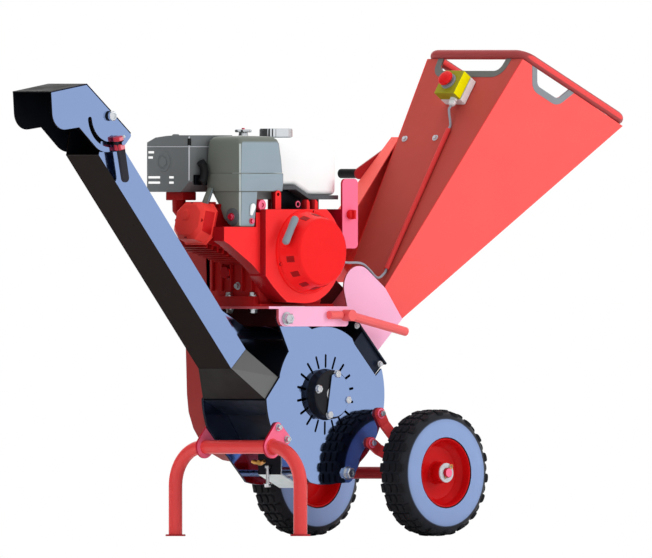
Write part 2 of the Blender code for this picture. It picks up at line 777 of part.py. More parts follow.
crank = Vector((CRANK_X, 0.0, CRANK_HEIGHT))
crankshaft = turned("crankshaft", [
    (0.0, SHAFT_END), (CRANK_RADIUS, SHAFT_END), (CRANK_RADIUS, BELT_Y + PULLEY_WIDTH / 2),
    (ENGINE_PULLEY, BELT_Y + PULLEY_WIDTH / 2), (ENGINE_PULLEY, BELT_Y + BELT_WIDTH / 2 + GAP),
    (ENGINE_PULLEY - GROOVE_DEPTH, BELT_Y + BELT_WIDTH / 2 + GAP),
    (ENGINE_PULLEY - GROOVE_DEPTH, BELT_Y - BELT_WIDTH / 2 - GAP),
    (ENGINE_PULLEY, BELT_Y - BELT_WIDTH / 2 - GAP), (ENGINE_PULLEY, BELT_Y - PULLEY_WIDTH / 2),
    (CRANK_RADIUS, BELT_Y - PULLEY_WIDTH / 2), (CRANK_RADIUS, CASE_FAR + GAP), (0.0, CASE_FAR + GAP)],
    crank, (0, 1, 0), STEEL)
hinge_at("crank_axis", crank, crankshaft)

rise = (CRANK_X - ROTOR_X, CRANK_HEIGHT - ROTOR_HEIGHT)


def belt_line(radius_low, radius_high):
    """The line round both pulleys; its flats clear these radii."""
    clear = 1 / math.cos(math.pi / FINE)
    return hull(circle((0, 0), radius_low * clear, FINE) + circle(rise, radius_high * clear, FINE))


seat_low, seat_high = ROTOR_PULLEY - GROOVE_DEPTH + GAP, ENGINE_PULLEY - GROOVE_DEPTH + GAP
belt_splines = [belt_line(seat_low + BELT_THICKNESS, seat_high + BELT_THICKNESS),
                belt_line(seat_low, seat_high)]
keep("drive_belt", plate_xz(belt_splines, BELT_Y - BELT_WIDTH / 2, BELT_Y + BELT_WIDTH / 2), RUBBER)

guard_from = RAIL_OUT + GAP
guard = keep("belt_guard", plate_xz([belt_line(GUARD_LOW_RADIUS, GUARD_HIGH_RADIUS)], guard_from, GUARD_FAR),
             DARK_RED)
cut(guard, plate_xz([belt_line(GUARD_LOW_RADIUS - GUARD_WALL, GUARD_HIGH_RADIUS - GUARD_WALL)],
                    guard_from - GUARD_WALL, GUARD_FAR - GUARD_WALL))


# Engine deck, its bolts and the belt-tension lever
deck_left, deck_right = AXLE_X - DECK_LEFT, AXLE_X - DECK_RIGHT
deck = keep("engine_deck",
            box((deck_left, -RAIL_OUT, DECK_TOP - DECK_THICKNESS), (deck_right, RAIL_OUT, DECK_TOP)), PINK)
rail_corners = [(AXLE_X - RAIL_LEFT, DECK_TOP - RAIL_DEPTH), (deck_right, DECK_TOP - RAIL_DEPTH),
                (deck_right, DECK_TOP - GAP), (AXLE_X - RAIL_LEFT, DECK_TOP - GAP)]
rail_outline = rounded(rail_corners, [0.020, 0.010, 0, 0.004])
tension_hole = circle((AXLE_X + TENSION_PIVOT[0], TENSION_PIVOT[1]), SMALL_BOLT_RADIUS + BOLT_CLEARANCE, 12)
lobe_hole = big_hole((ROTOR_X + UPPER_LOBE[0], ROTOR_HEIGHT + UPPER_LOBE[1]))
world = Vector((0, 0, 0))
stub_y = -RAIL_OUT - RAIL_STUB_RADIUS + 0.002
stub_z = DECK_TOP - RAIL_STUB_DROP
fuse(deck, plate_xz([rail_outline, tension_hole, lobe_hole], -RAIL_OUT, -RAIL_IN, world),
     plate_xz([rail_outline], RAIL_IN, RAIL_OUT, world),
     rod(from_axle(RAIL_STUB_FROM, stub_y, stub_z), from_axle(RAIL_STUB_TO, stub_y, stub_z),
         RAIL_STUB_RADIUS, 16))

bolt("deck_bolt", from_rotor(UPPER_LOBE, -RAIL_OUT - GAP), (0, -1, 0), RAIL_OUT - HOUSING_HALF + 2 * GAP)
bolt("lower_tie_bolt", from_rotor(LOWER_LOBE, -PLATE_OUT - GAP), (0, -1, 0), 2 * (PLATE_OUT + GAP))

tension_y = -RAIL_OUT - GAP - 0.005 - TENSION_RADIUS
pivot = from_axle(TENSION_PIVOT[0], tension_y, TENSION_PIVOT[1])
tension_tip = from_axle(TENSION_TIP[0], tension_y, TENSION_TIP[1])
tension = keep("tension_lever", tube([pivot, tension_tip], TENSION_RADIUS), RED)
fuse(tension, rod(from_axle(TENSION_PIVOT[0], -RAIL_OUT - GAP, TENSION_PIVOT[1]),
                  from_axle(TENSION_PIVOT[0], tension_y - TENSION_RADIUS - 0.002, TENSION_PIVOT[1]), 0.014),
     rod(from_axle(TENSION_PIVOT[0], -RAIL_IN + 0.004, TENSION_PIVOT[1]), pivot, SMALL_BOLT_RADIUS, 12))
hinge_at("tension_axis", pivot, tension)


# Engine
def beside_crank(x, y, z):
    """World place of a point whose X is counted from the crankshaft."""
    return Vector((CRANK_X + x, y, z))


def on_engine(x, y, z):
    """World place of a point of the engine: X is counted from the wheel axle, Z from the crankshaft."""
    return Vector((AXLE_X + x, y, CRANK_HEIGHT + z))


def round_edges(thing, width, segments=2):
    """A bevel on a plate's outer edges."""
    edge = thing.modifiers.new("rounded_edge", "BEVEL")
    edge.width = width
    edge.segments = segments
    edge.limit_method = "ANGLE"
    edge.angle_limit = math.radians(60)


foot_low = DECK_TOP + GAP
case = keep("crankcase", box(beside_crank(-CASE_LEFT, -CASE_NEAR, foot_low + BITE),
                             beside_crank(CASE_RIGHT, CASE_FAR, CASE_TOP), 0.012), RED)
fuse(case, box(beside_crank(-FOOT_LEFT, -FOOT_NEAR, foot_low),
               beside_crank(FOOT_RIGHT, CASE_FAR - 0.004, foot_low + FOOT_THICKNESS)),
     box(beside_crank(TUCK - FOOT_LEFT, -FOOT_BLOCK_HALF, foot_low + TUCK),
         beside_crank(BITE - CASE_LEFT, FOOT_BLOCK_HALF, FOOT_BLOCK_TOP)))
for post_x, post_top in TANK_POSTS:
    for post_y in TANK_POST_Y:
        fuse_more(case, f"tank_post_{post_x}_{post_y}",
                  rod(from_axle(post_x, post_y, CASE_TOP - 0.020), on_engine(post_x, post_y, post_top - GAP),
                      TANK_POST_RADIUS, 16))

fan_back = CASE_NEAR + GAP
fan_round = arc((CRANK_X, CRANK_HEIGHT), FAN_RADIUS, -90,
                math.degrees(math.asin(FAN_TOP / FAN_RADIUS)), 18)
fan_outline = fan_round + [(CRANK_X + x, CRANK_HEIGHT + z) for x, z in FAN_CORNERS]
fan = keep("fan_cover", plate_xz([fan_outline], -FAN_FRONT, -fan_back, world), RED)
round_edges(fan, FAN_EDGE)
duct_outline = [(CRANK_X + x, CRANK_HEIGHT + z) for x, z in DUCT_CORNERS]
fuse(fan, plate_xz([duct_outline], -DUCT_FRONT, -fan_back - BITE, world))

recoil_depth = RECOIL_FRONT - FAN_FRONT - GAP
recoil = turned("recoil_cover", [
    (0.0, recoil_depth), (RECOIL_FACE - 0.006, recoil_depth), (RECOIL_FACE, recoil_depth - 0.006),
    (RECOIL_FLANGE - 0.006, 0.008), (RECOIL_FLANGE, 0.006), (RECOIL_FLANGE, 0.0),
    (RECOIL_FLANGE - 0.010, 0.0), (RECOIL_FACE - RECOIL_WALL - 0.003, recoil_depth - RECOIL_WALL - 0.004),
    (0.0, recoil_depth - RECOIL_WALL)], beside_crank(0, -FAN_FRONT - GAP, CRANK_HEIGHT), (0, -1, 0), RED, 28)

pull_turn = math.radians(PULL_ANGLE)
pull_out = Vector((math.cos(pull_turn), 0.0, math.sin(pull_turn)))
cone_lean = math.atan2(RECOIL_FLANGE - RECOIL_FACE, recoil_depth - 0.014)
pull_way = pull_out * math.cos(cone_lean) + Vector((0, -1, 0)) * math.sin(cone_lean)
pull_seat = beside_crank(0, -FAN_FRONT - recoil_depth * 0.52, CRANK_HEIGHT) + pull_out * 0.0932
grip_across = pull_out.cross(Vector((0, 1, 0))).normalized()
grip_middle = pull_seat + pull_way * (PULL_GRIP_RADIUS + 0.0028)
grip_reach = grip_across * PULL_GRIP_LENGTH / 2
grip_ends = [grip_middle - grip_reach, grip_middle + grip_reach]
grip = keep("starter_grip", tube(grip_ends, PULL_GRIP_RADIUS), GREY_PLASTIC)
fuse(grip, rod(grip_middle - pull_way * 0.030, grip_middle, 0.0025, 12))
cut(recoil, rod(grip_middle - pull_way * 0.060, grip_middle, 0.0030, 12))
hinge_at("pull_line", grip_middle, grip)

tilt = math.radians(CYLINDER_TILT)
bore_way = Vector((-math.cos(tilt), 0.0, math.sin(tilt)))
bore_up = Vector((math.sin(tilt), 0.0, math.cos(tilt)))


def on_bore(u, v, y):
    """World place u along the cylinder from the crankshaft, v above its axis."""
    return beside_crank(0, y, CRANK_HEIGHT) + bore_way * u + bore_up * v


def comb_outline():
    """The cylinder's outline with cooling fins above and below, as X and Z in the world."""
    pitch = (CYLINDER_TO - CYLINDER_FROM - FIN_THICKNESS) / (FIN_COUNT - 1)
    upper = []
    for index in range(FIN_COUNT):
        start = CYLINDER_FROM + pitch * index
        upper += [(start, CYLINDER_CORE), (start, CYLINDER_HALF_HEIGHT),
                  (start + FIN_THICKNESS, CYLINDER_HALF_HEIGHT), (start + FIN_THICKNESS, CYLINDER_CORE)]
    line = upper + [(u, -v) for u, v in reversed(upper)]
    places = [on_bore(u, v, 0) for u, v in line[1:-1]]
    return [(p.x, p.z) for p in places]


cylinder = keep("cylinder", plate_xz([comb_outline()], -CYLINDER_NEAR, CYLINDER_FAR, world), DARK_STEEL)
root_cut = box((beside_crank(-CASE_LEFT - GAP, 0, 0).x, -CASE_FAR, DECK_TOP), (AXLE_X, CASE_FAR, CASE_TOP))
cut(cylinder, root_cut)

valve_middle = on_bore(CYLINDER_TO + GAP + VALVE_COVER_LENGTH / 2, 0, VALVE_COVER_MIDDLE)
valve_corner = Vector((VALVE_COVER_LENGTH / 2, VALVE_COVER_HALF_WIDTH, VALVE_COVER_HALF))
valve = box(-valve_corner, valve_corner, VALVE_COVER_EDGE, 3)
valve.transform(Matrix.Translation(valve_middle) @ Matrix.Rotation(tilt, 4, "Y"))
keep("valve_cover", valve, RED)

muffler = keep("muffler", box(on_engine(*MUFFLER_LOW), on_engine(*MUFFLER_HIGH), 0.010), DARK_STEEL)
pipe_foot = on_bore(0.212, CYLINDER_HALF_HEIGHT + GAP, 0.035)
fuse(muffler, rod(pipe_foot, pipe_foot + bore_up * 0.060, 0.014, 16))


def level(rectangle):
    """Four world corners of a level rectangle, given by two corners counted from the axle and a height."""
    (x_low, y_low), (x_high, y_high), height = rectangle
    return [on_engine(x, y, height) for x in (x_low, x_high) for y in (y_low, y_high)]


seam = CRANK_HEIGHT + CLEANER_SEAM
cleaner_low, cleaner_high = on_engine(*CLEANER_LOW), on_engine(*CLEANER_HIGH)
cleaner_base = keep("air_cleaner_base",
                    box(cleaner_low, (cleaner_high.x, cleaner_high.y, seam - GAP), 0.006), GREY_PLASTIC)
(block_left, block_low), (block_right, block_high) = CARB_BLOCK
fuse(cleaner_base, convex(level(FUNNEL_FOOT) + level(FUNNEL_NECK)),
     convex(level(FUNNEL_WAIST) + level(FUNNEL_HEAD)),
     convex(level(SHOULDER_FOOT) + level(SHOULDER_HEAD)),
     box(on_engine(block_left, -0.080, block_low), on_engine(block_right, -CYLINDER_NEAR - GAP, block_high)))
keep("air_cleaner_cover", box((cleaner_low.x, cleaner_low.y, seam), cleaner_high, CLEANER_EDGE, 3),
     GREY_PLASTIC)
nut_foot = (cleaner_low + cleaner_high) / 2
nut_foot.z = CRANK_HEIGHT + CLEANER_HIGH[2] + GAP
wing_nut = keep("air_cleaner_nut", rod(nut_foot, nut_foot + Vector((0, 0, 0.010)), 0.008, 12), STEEL)
fuse(wing_nut, box(nut_foot + Vector((-0.017, -0.002, 0.003)), nut_foot + Vector((0.017, 0.002, 0.016))))
hinge_at("nut_axis", nut_foot, wing_nut)

tank_outline = [(AXLE_X + x, CRANK_HEIGHT + z) for x, z in TANK_SHAPE]
tank = keep("fuel_tank", plate_xz([tank_outline], -TANK_NEAR, TANK_FAR, world), WHITE_PLASTIC)
round_edges(tank, TANK_EDGE, 3)
cap_foot = on_engine(CAP_AT[0], CAP_AT[1], TANK_TOP + GAP)
cap_profile = [(0.0, CAP_HEIGHT), (CAP_RADIUS - 0.003, CAP_HEIGHT), (CAP_RADIUS, CAP_HEIGHT - 0.003),
               (CAP_RADIUS, 0.004), (CAP_RADIUS - 0.006, 0.0), (0.0, 0.0)]
cap = turned("fuel_cap", cap_profile, cap_foot, (0, 0, 1), CHROME)
hinge_at("cap_axis", cap_foot, cap)

panel_low, panel_high = CRANK_HEIGHT + SWITCH_LOW, CRANK_HEIGHT + SWITCH_HIGH
panel_outline = rounded([(AXLE_X - SWITCH_LEFT, panel_low), (AXLE_X - SWITCH_RIGHT, panel_low),
                         (AXLE_X - SWITCH_RIGHT, panel_high), (AXLE_X - SWITCH_LEFT, panel_high)], 0.012)
panel_back = SWITCH_FRONT - 0.006
panel = keep("switch_panel", plate_xz([panel_outline], -SWITCH_FRONT, -panel_back, world), PINK)
arm_right = AXLE_X - SWITCH_RIGHT - 0.011
arm_low, arm_high = panel_low + 0.0165, panel_high - 0.0745
fuse(panel, box((AXLE_X - SWITCH_LEFT + 0.008, -panel_back - 0.001, arm_low), (arm_right, -0.035, arm_high)),
     box((CRANK_X + CASE_RIGHT + GAP, -CASE_NEAR + 0.001, arm_low + 0.002),
         (arm_right - 0.002, -0.036, arm_high - 0.020)))
knob_foot = on_engine(SWITCH_KNOB[0], -SWITCH_FRONT - GAP, SWITCH_KNOB[1])
knob_profile = [(0.0, 0.012), (SWITCH_KNOB_RADIUS - 0.002, 0.012), (SWITCH_KNOB_RADIUS, 0.010),
                (SWITCH_KNOB_RADIUS, 0.0), (0.0, 0.0)]
knob = turned("engine_switch", knob_profile, knob_foot, (0, -1, 0), RED, ROUND)
fuse(knob, box(knob_foot + Vector((-0.003, -0.019, -0.011)), knob_foot + Vector((0.003, -0.008, 0.011))))
hinge_at("switch_axis", knob_foot, knob)

choke_at = on_engine(CHOKE_AT[0], CLEANER_LOW[1] - GAP, CHOKE_AT[1])
choke_line = hull(circle((choke_at.x, choke_at.z), 0.008, 12)
                  + circle((choke_at.x - 0.006, choke_at.z - CHOKE_LENGTH), 0.004, 8))
choke = keep("choke_lever", plate_xz([choke_line], choke_at.y - 0.004, choke_at.y, world), GREY_PLASTIC)
hinge_at("choke_axis", choke_at, choke)


# Discharge transition, chute and deflector
def offset_line(a, b, out):
    """A line of two flat points moved to its left by out."""
    along = (Vector(b) - Vector(a)).normalized()
    left = Vector((-along.y, along.x)) * out
    return tuple(Vector(a) + left), tuple(Vector(b) + left)


def section(line, half, inset=0.0):
    """Four world corners of a chute section whose middle plane is this flat line."""
    a, b = Vector(line[0]), Vector(line[1])
    along = (b - a).normalized() * inset
    return [from_rotor(p, y) for p in (a + along, b - along) for y in (-half + inset, half - inset)]


def stretch(near_line, far_line, out):
    """Both end lines moved apart by out, so that a cutter runs past the ends."""
    near, far = [Vector(p) for p in near_line], [Vector(p) for p in far_line]
    ways = [(f - n).normalized() * out for n, f in zip(near, far)]
    return [n - w for n, w in zip(near, ways)], [f + w for f, w in zip(far, ways)]


mouth_line = offset_line(OUTLET_LOW, OUTLET_HIGH, 0.0005)
foot_line = (CHUTE_FOOT_LOW, CHUTE_FOOT_HIGH)
transition = keep("chute_transition",
                  convex(section(mouth_line, HOUSING_HALF) + section(foot_line, CHUTE_HALF)), BLACK)
inner_mouth, inner_foot = stretch(mouth_line, foot_line, 0.002)
inner_ends = section(inner_mouth, HOUSING_HALF, CHUTE_WALL) + section(inner_foot, CHUTE_HALF, CHUTE_WALL)
cut(transition, convex(inner_ends))

chute_foot = offset_line(CHUTE_FOOT_LOW, CHUTE_FOOT_HIGH, GAP)


def tucked(a, b, inward):
    """A panel's line, moved a hair inward from the edge of its side walls and shortened by as much."""
    moved = offset_line(a, b, inward)
    along = (Vector(moved[1]) - Vector(moved[0])).normalized() * TUCK
    return [tuple(Vector(moved[0]) + along), tuple(Vector(moved[1]) - along)]


clamp_at = arc(PIVOT, SLOT_RADIUS, CLAMP_ANGLE, 0, 1)[0]
ear = hull([CHUTE_HEAD_LOW, CHUTE_HEAD_HIGH] + circle(PIVOT, PIVOT_EAR) + circle(clamp_at, 0.014, 16))
first = ear.index(CHUTE_HEAD_HIGH)
ear = ear[first:] + ear[:first]
chute_side = [chute_foot[0], chute_foot[1], *ear[:ear.index(CHUTE_HEAD_LOW) + 1]]
lower_panel = ribbon(tucked(chute_foot[0], CHUTE_HEAD_LOW, -TUCK), -CHUTE_WALL)
upper_panel = ribbon(tucked(chute_foot[1], CHUTE_HEAD_HIGH, TUCK), CHUTE_WALL)
wall_in = CHUTE_HALF - CHUTE_WALL
chute = keep("discharge_chute", plate_xz([chute_side], -CHUTE_HALF, -wall_in), BLACK)
fuse(chute, plate_xz([chute_side], wall_in, CHUTE_HALF),
     plate_xz([lower_panel], -wall_in - 0.001, wall_in + 0.001),
     plate_xz([upper_panel], -wall_in - 0.001, wall_in + 0.001))
side_in, side_out = DEFLECTOR_HALF - CHUTE_WALL, DEFLECTOR_HALF
for side_name, side in SIDES:
    inside = side * (CHUTE_HALF - CHUTE_WALL / 2)
    collar_end = side * (side_in - GAP)
    head_from, head_to = side * (side_out + GAP), side * (side_out + GAP + 0.009)
    fuse_more(chute, f"{side_name}_spacer", bar_y(PIVOT, inside, collar_end, PIVOT_SPACER, 16))
    fuse_more(chute, f"{side_name}_pin",
              bar_y(PIVOT, side * CHUTE_HALF, head_from + side * BITE, PIVOT_PIN, 16))
    fuse_more(chute, f"{side_name}_head", bar_y(PIVOT, head_from, head_to, 0.012, 6))
stud_out = -(side_out + GAP + 0.024)
fuse_more(chute, "clamp_stud", bar_y(clamp_at, -CHUTE_HALF + CHUTE_WALL / 2, stud_out,
                                   CLAMP_STUD, 12))


def from_pivot(*points):
    """Flat points given from the deflector's pivot, as counted from the rotor's axis."""
    return [(PIVOT[0] + u, PIVOT[1] + v) for u, v in points]


HOOD_TOP = [(0.068, -0.038), (0.022, -0.001), (-0.080, 0.079), (-0.204, 0.060)]
HOOD_UNDER = [(-0.201, 0.030), (-0.194, 0.003), (-0.177, -0.021), (-0.148, -0.033), (-0.104, -0.026),
              (-0.065, -0.059), (-0.041, -0.076), (0.002, -0.084), (0.041, -0.080), (0.070, -0.049)]
side_outline = from_pivot(*(HOOD_TOP + HOOD_UNDER))[::-1]
pin_hole = circle(PIVOT, PIVOT_PIN + BOLT_CLEARANCE, 16)
outer_arc = arc(PIVOT, SLOT_RADIUS + SLOT_HALF, SLOT_FROM, SLOT_TO, 14)
inner_arc = arc(PIVOT, SLOT_RADIUS - SLOT_HALF, SLOT_TO, SLOT_FROM, 14)
slotted_side = plate_xz([side_outline, pin_hole, outer_arc + inner_arc], -side_out, -side_in)
deflector = keep("deflector", slotted_side, BLACK)
roof = ribbon(from_pivot(*HOOD_TOP), CHUTE_WALL)
fuse(deflector, plate_xz([side_outline, pin_hole], side_in, side_out),
     plate_xz([roof], -side_in - BITE, side_in + BITE))
hinge_at("deflector_axis", from_rotor(PIVOT), deflector)

lever_from = -(side_out + GAP)
clamp = keep("clamp_lever", bar_y(clamp_at, lever_from, stud_out + 0.006, 0.013, 16),
             RED)
clamp_tip = (clamp_at[0] + 0.018, clamp_at[1] - CLAMP_LEVER_LENGTH)
clamp_line = hull(circle(clamp_at, 0.012, 16) + circle(clamp_tip, CLAMP_LEVER_WIDTH / 2, 12))
fuse(clamp, plate_xz([clamp_line], stud_out + 0.008, stud_out + 0.016))
cut(clamp, bar_y(clamp_at, 0, stud_out - 0.010, CLAMP_STUD + GAP, 12))
hinge_at("clamp_axis", from_rotor(clamp_at, lever_from), clamp)


# Infeed: collar on the housing, welded box with its cheeks, rubber curtain
def feed_frame(s):
    """Matrix with X along world Y, Y along the infeed's height and Z along its way."""
    start = from_rotor(in_feed(s, 0))
    side = Vector((0, 1, 0))
    return Matrix(((side.x, FEED_T.x, FEED_S.x, start.x), (side.y, FEED_T.y, FEED_S.y, start.y),
                   (side.z, FEED_T.z, FEED_S.z, start.z), (0, 0, 0, 1)))


def rectangle(half_width, low, high):
    """Four flat corners."""
    return [(-half_width, low), (half_width, low), (half_width, high), (-half_width, high)]


def feed_block(half_width, low, high, s_from, s_to):
    """A block square to the infeed."""
    return flat([rectangle(half_width, low, high)], s_to - s_from, feed_frame((s_from + s_to) / 2))


collar_half = HOUSING_HALF - GAP
collar = keep("infeed_collar", feed_block(collar_half, COLLAR_LOW, COLLAR_HIGH, COLLAR_FROM, FLANGE_AT),
              BLACK)
flange_middle = FLANGE_AT + FLANGE_THICKNESS / 2
fuse(collar, flat([rectangle(PLATE_OUT, FLANGE_LOW, FLANGE_HIGH)], FLANGE_THICKNESS + 0.001,
                  feed_frame(flange_middle)))
cut(collar, feed_block(INFEED_HALF, INFEED_LOW, INFEED_HIGH, COLLAR_FROM - 0.01, FLANGE_AT + 0.02))

box_from = FLANGE_AT + FLANGE_THICKNESS + 0.0005 + GAP
throat_line = (THROAT_LOW, THROAT_HIGH)


def feed_coordinates(point):
    """s and t of a flat point counted from the rotor's axis."""
    place = Vector((point[0], 0, point[1]))
    return (place.dot(FEED_S), place.dot(FEED_T))


throat_low_s, throat_low_t = feed_coordinates(THROAT_LOW)
throat_high_s, throat_high_t = feed_coordinates(THROAT_HIGH)
cheek_line = hull([(box_from, INFEED_LOW - CHEEK), (box_from, 0.030), (throat_low_s, throat_low_t),
                   (throat_high_s, throat_high_t)] + circle(CHEEK_LOBE, CHEEK_LOBE_RADIUS, 32))
cheek_outline = [in_feed(s, t) for s, t in cheek_line]
cheek_in, cheek_out = INFEED_HALF, INFEED_HALF + CHEEK
infeed = keep("infeed_box", plate_xz([cheek_outline], -cheek_out, -cheek_in), PINK)
floor_line = [(box_from, INFEED_LOW - CHEEK), (throat_low_s, throat_low_t),
              (throat_low_s + THROAT_LEAN, throat_low_t + CHEEK), (box_from, INFEED_LOW)]
roof_line = [(box_from, INFEED_HIGH), (throat_high_s - THROAT_LEAN, throat_high_t - CHEEK),
             (throat_high_s, throat_high_t), (box_from, INFEED_HIGH + CHEEK)]
fuse(infeed, plate_xz([cheek_outline], cheek_in, cheek_out),
     plate_xz([[in_feed(s, t) for s, t in floor_line]], -cheek_in - BITE, cheek_in + BITE),
     plate_xz([[in_feed(s, t) for s, t in roof_line]], -cheek_in - BITE, cheek_in + BITE))

roof_slope = (throat_high_t - CHEEK - INFEED_HIGH) / (throat_high_s - box_from)
curtain_top_t = INFEED_HIGH + roof_slope * (CURTAIN_AT - box_from) - GAP
curtain_top = from_rotor(in_feed(CURTAIN_AT, curtain_top_t))
curtain_half = INFEED_HALF - RUNNING
curtain = keep("splash_curtain", box(curtain_top + Vector((0, -curtain_half, -CURTAIN_LENGTH)),
                                     curtain_top + Vector((CURTAIN_THICKNESS, curtain_half, 0))), RUBBER)
hinge_at("curtain_axis", curtain_top, curtain)

# Hopper walls: each is a flat sheet through its four corners
throat_half_high = INFEED_HALF
high_throat, high_mouth = from_rotor(THROAT_HIGH, -throat_half_high), from_rotor(MOUTH_HIGH, -MOUTH_HALF)
low_mouth = from_rotor(MOUTH_LOW, -MOUTH_HALF)
side_normal = (low_mouth - high_mouth).cross(high_throat - high_mouth).normalized()
if side_normal.y > 0:
    side_normal.negate()
low_flat = from_rotor(THROAT_LOW) - high_mouth
throat_half_low = -(high_mouth.y - (low_flat.x * side_normal.x + low_flat.z * side_normal.z) / side_normal.y)
low_throat = from_rotor(THROAT_LOW, -throat_half_low)
feed_lift = FEED_S * (GAP + 0.0005)


def mirrored(point):
    """The same place on the far side."""
    return Vector((point.x, -point.y, point.z))


def panel_frame(origin, toward, other):
    """Matrix of a sheet's plane: X toward one point, the other point on its +Y side."""
    x_axis = (toward - origin).normalized()
    normal = x_axis.cross(other - origin).normalized()
    y_axis = normal.cross(x_axis)
    rows = [[x_axis[i], y_axis[i], normal[i], origin[i]] for i in range(3)]
    return Matrix((*rows, (0, 0, 0, 1)))


def sheet(corners_of_plane, outline, outward):
    """A hopper wall: its inner face in a plane, its thickness outward; returns the mesh."""
    frame = panel_frame(*corners_of_plane)
    normal = frame.to_3x3().col[2]
    lift = WALL / 2 if normal.dot(outward) > 0 else -WALL / 2
    return flat([outline], WALL, frame @ Matrix.Translation((0, 0, lift)))


def in_plane(frame, point):
    """Flat coordinates of a world point in a sheet's plane."""
    local = frame.inverted() @ point
    return (local.x, local.y)


def hand_notch(start, end, slant):
    """A cut-out for a hand from the edge at v = 0, its two lower corners round."""
    corners = [(start, 0.0), (start + slant, HAND_DEPTH), (end - slant, HAND_DEPTH), (end, 0.0)]
    return rounded(corners, [0, HAND_ROUND, HAND_ROUND, 0])


rise_high = (high_mouth - high_throat).normalized()
rise_low = (low_mouth - low_throat).normalized()
edge_high_out = side_normal.cross(rise_high).normalized()
if edge_high_out.z < 0:
    edge_high_out.negate()
edge_low_out = side_normal.cross(rise_low).normalized()
if edge_low_out.z > 0:
    edge_low_out.negate()
throat_way = (low_throat - high_throat).normalized()
lap_low = WALL / throat_way.dot(edge_low_out)
lap_high = WALL / -throat_way.dot(edge_high_out)
for side_name, side in SIDES:
    flip = (lambda p: p) if side < 0 else mirrored
    plane = (flip(high_mouth), flip(low_mouth), flip(high_throat))
    frame = panel_frame(*plane)
    mouth_length = (low_mouth - high_mouth).length
    notch = hand_notch(SIDE_HAND_FROM, SIDE_HAND_TO, SIDE_HAND_SLANT)
    corners = [in_plane(frame, flip(p)) for p in
               (low_mouth + edge_low_out * WALL, low_throat + throat_way * lap_low + feed_lift,
                high_throat - throat_way * lap_high + feed_lift, high_mouth + edge_high_out * WALL)]
    if (frame.inverted() @ flip(low_throat)).y < 0:
        notch = [(u, -v) for u, v in notch]
    keep(f"hopper_{side_name}_wall", sheet(plane, notch + corners, Vector((0, side, 0))), HOPPER_RED)

upper_frame = panel_frame(high_mouth, mirrored(high_mouth), high_throat)
upper_out = Vector((-math.sin(FEED), 0, math.cos(FEED)))
inset = Vector((0, GAP, 0))
notch = hand_notch(MOUTH_HALF - UPPER_HAND_HALF, MOUTH_HALF + UPPER_HAND_HALF, 0.004)
upper_corners = [in_plane(upper_frame, p) for p in
                 (mirrored(high_mouth + inset), mirrored(high_throat + inset) + feed_lift,
                  high_throat + inset + feed_lift, high_mouth + inset)]
keep("hopper_upper_wall",
     sheet((high_mouth, mirrored(high_mouth), high_throat), notch + upper_corners, upper_out),
     DARK_RED)
lower_frame = panel_frame(low_mouth, mirrored(low_mouth), low_throat)
inset = Vector((0, 2 * GAP, 0))
lower_corners = [in_plane(lower_frame, p) for p in
                 (low_mouth + inset, mirrored(low_mouth + inset), mirrored(low_throat + inset) + feed_lift,
                  low_throat + inset + feed_lift)]
keep("hopper_lower_wall", sheet((low_mouth, mirrored(low_mouth), low_throat), lower_corners, -upper_out),
     HOPPER_RED)

mouth_way = (from_rotor(MOUTH_LOW) - from_rotor(MOUTH_HIGH)).normalized()
mouth_out = Vector((-mouth_way.z, 0, mouth_way.x))
rim_lift = mouth_out * (RIM_RADIUS + GAP)
rim_corners = [high_mouth + rim_lift, low_mouth + rim_lift, mirrored(low_mouth) + rim_lift,
               mirrored(high_mouth) + rim_lift]
keep("rim_tube", tube(rounded(rim_corners, RIM_BEND, 5), RIM_RADIUS, closed=True), DARK_RED)

# Emergency stop on the upper wall, its cable in a conduit
down_way = (from_rotor(THROAT_HIGH) - from_rotor(MOUTH_HIGH)).normalized()
wall_out = Vector((0, 1, 0)).cross(down_way).normalized()
if wall_out.z < 0:
    wall_out.negate()
mouth_middle = from_rotor(MOUTH_HIGH)


def on_wall(down, y, out):
    """World place down the upper wall from its mouth edge, out from its outer face."""
    return mouth_middle + down_way * down + Vector((0, y, 0)) + wall_out * (WALL + out)


wall_axes = Matrix([[down_way[i], (0, 1, 0)[i], wall_out[i], 0] for i in range(3)] + [[0, 0, 0, 1]])
if wall_axes.determinant() < 0:
    wall_axes = Matrix([[-down_way[i], (0, 1, 0)[i], wall_out[i], 0] for i in range(3)] + [[0, 0, 0, 1]])
stop_middle = on_wall(STOP_DOWN, STOP_ASIDE, GAP + STOP_HEIGHT / 2)
stop_corner = Vector((STOP_SIDE / 2, STOP_SIDE / 2, STOP_HEIGHT / 2))
stop_mesh = box(-stop_corner, stop_corner,
                0.004)
stop_mesh.transform(Matrix.Translation(stop_middle) @ wall_axes)
stop_box = keep("stop_box", stop_mesh, YELLOW)
gland_foot = on_wall(STOP_DOWN + STOP_SIDE / 2, GLAND_ASIDE, GAP + STOP_HEIGHT / 2)
gland_tip = gland_foot + down_way * GLAND_LENGTH
fuse(stop_box, rod(gland_foot - down_way * 0.004, gland_tip, GLAND_RADIUS, 16))
button_foot = on_wall(STOP_DOWN, STOP_ASIDE, GAP + STOP_HEIGHT)
collar_ring = rod(button_foot - wall_out * 0.001, button_foot + wall_out * 0.004, BUTTON_RADIUS + 0.001)
fuse_more(stop_box, "button_collar", collar_ring)
cut(stop_box, rod(button_foot - wall_out * (BUTTON_TRAVEL + 0.008), button_foot + wall_out * 0.010,
                  BUTTON_STEM + GAP))
head_from = 0.004 + BUTTON_TRAVEL + 0.001
button = turned("stop_button", [(0.0, head_from + 0.012), (BUTTON_RADIUS - 0.005, head_from + 0.010),
                                (BUTTON_RADIUS, head_from + 0.005), (BUTTON_RADIUS, head_from),
                                (BUTTON_STEM, head_from), (BUTTON_STEM, -0.001), (0.0, -0.001)],
                button_foot, wall_out, RED, ROUND)
hinge_at("button_line", button_foot, button)

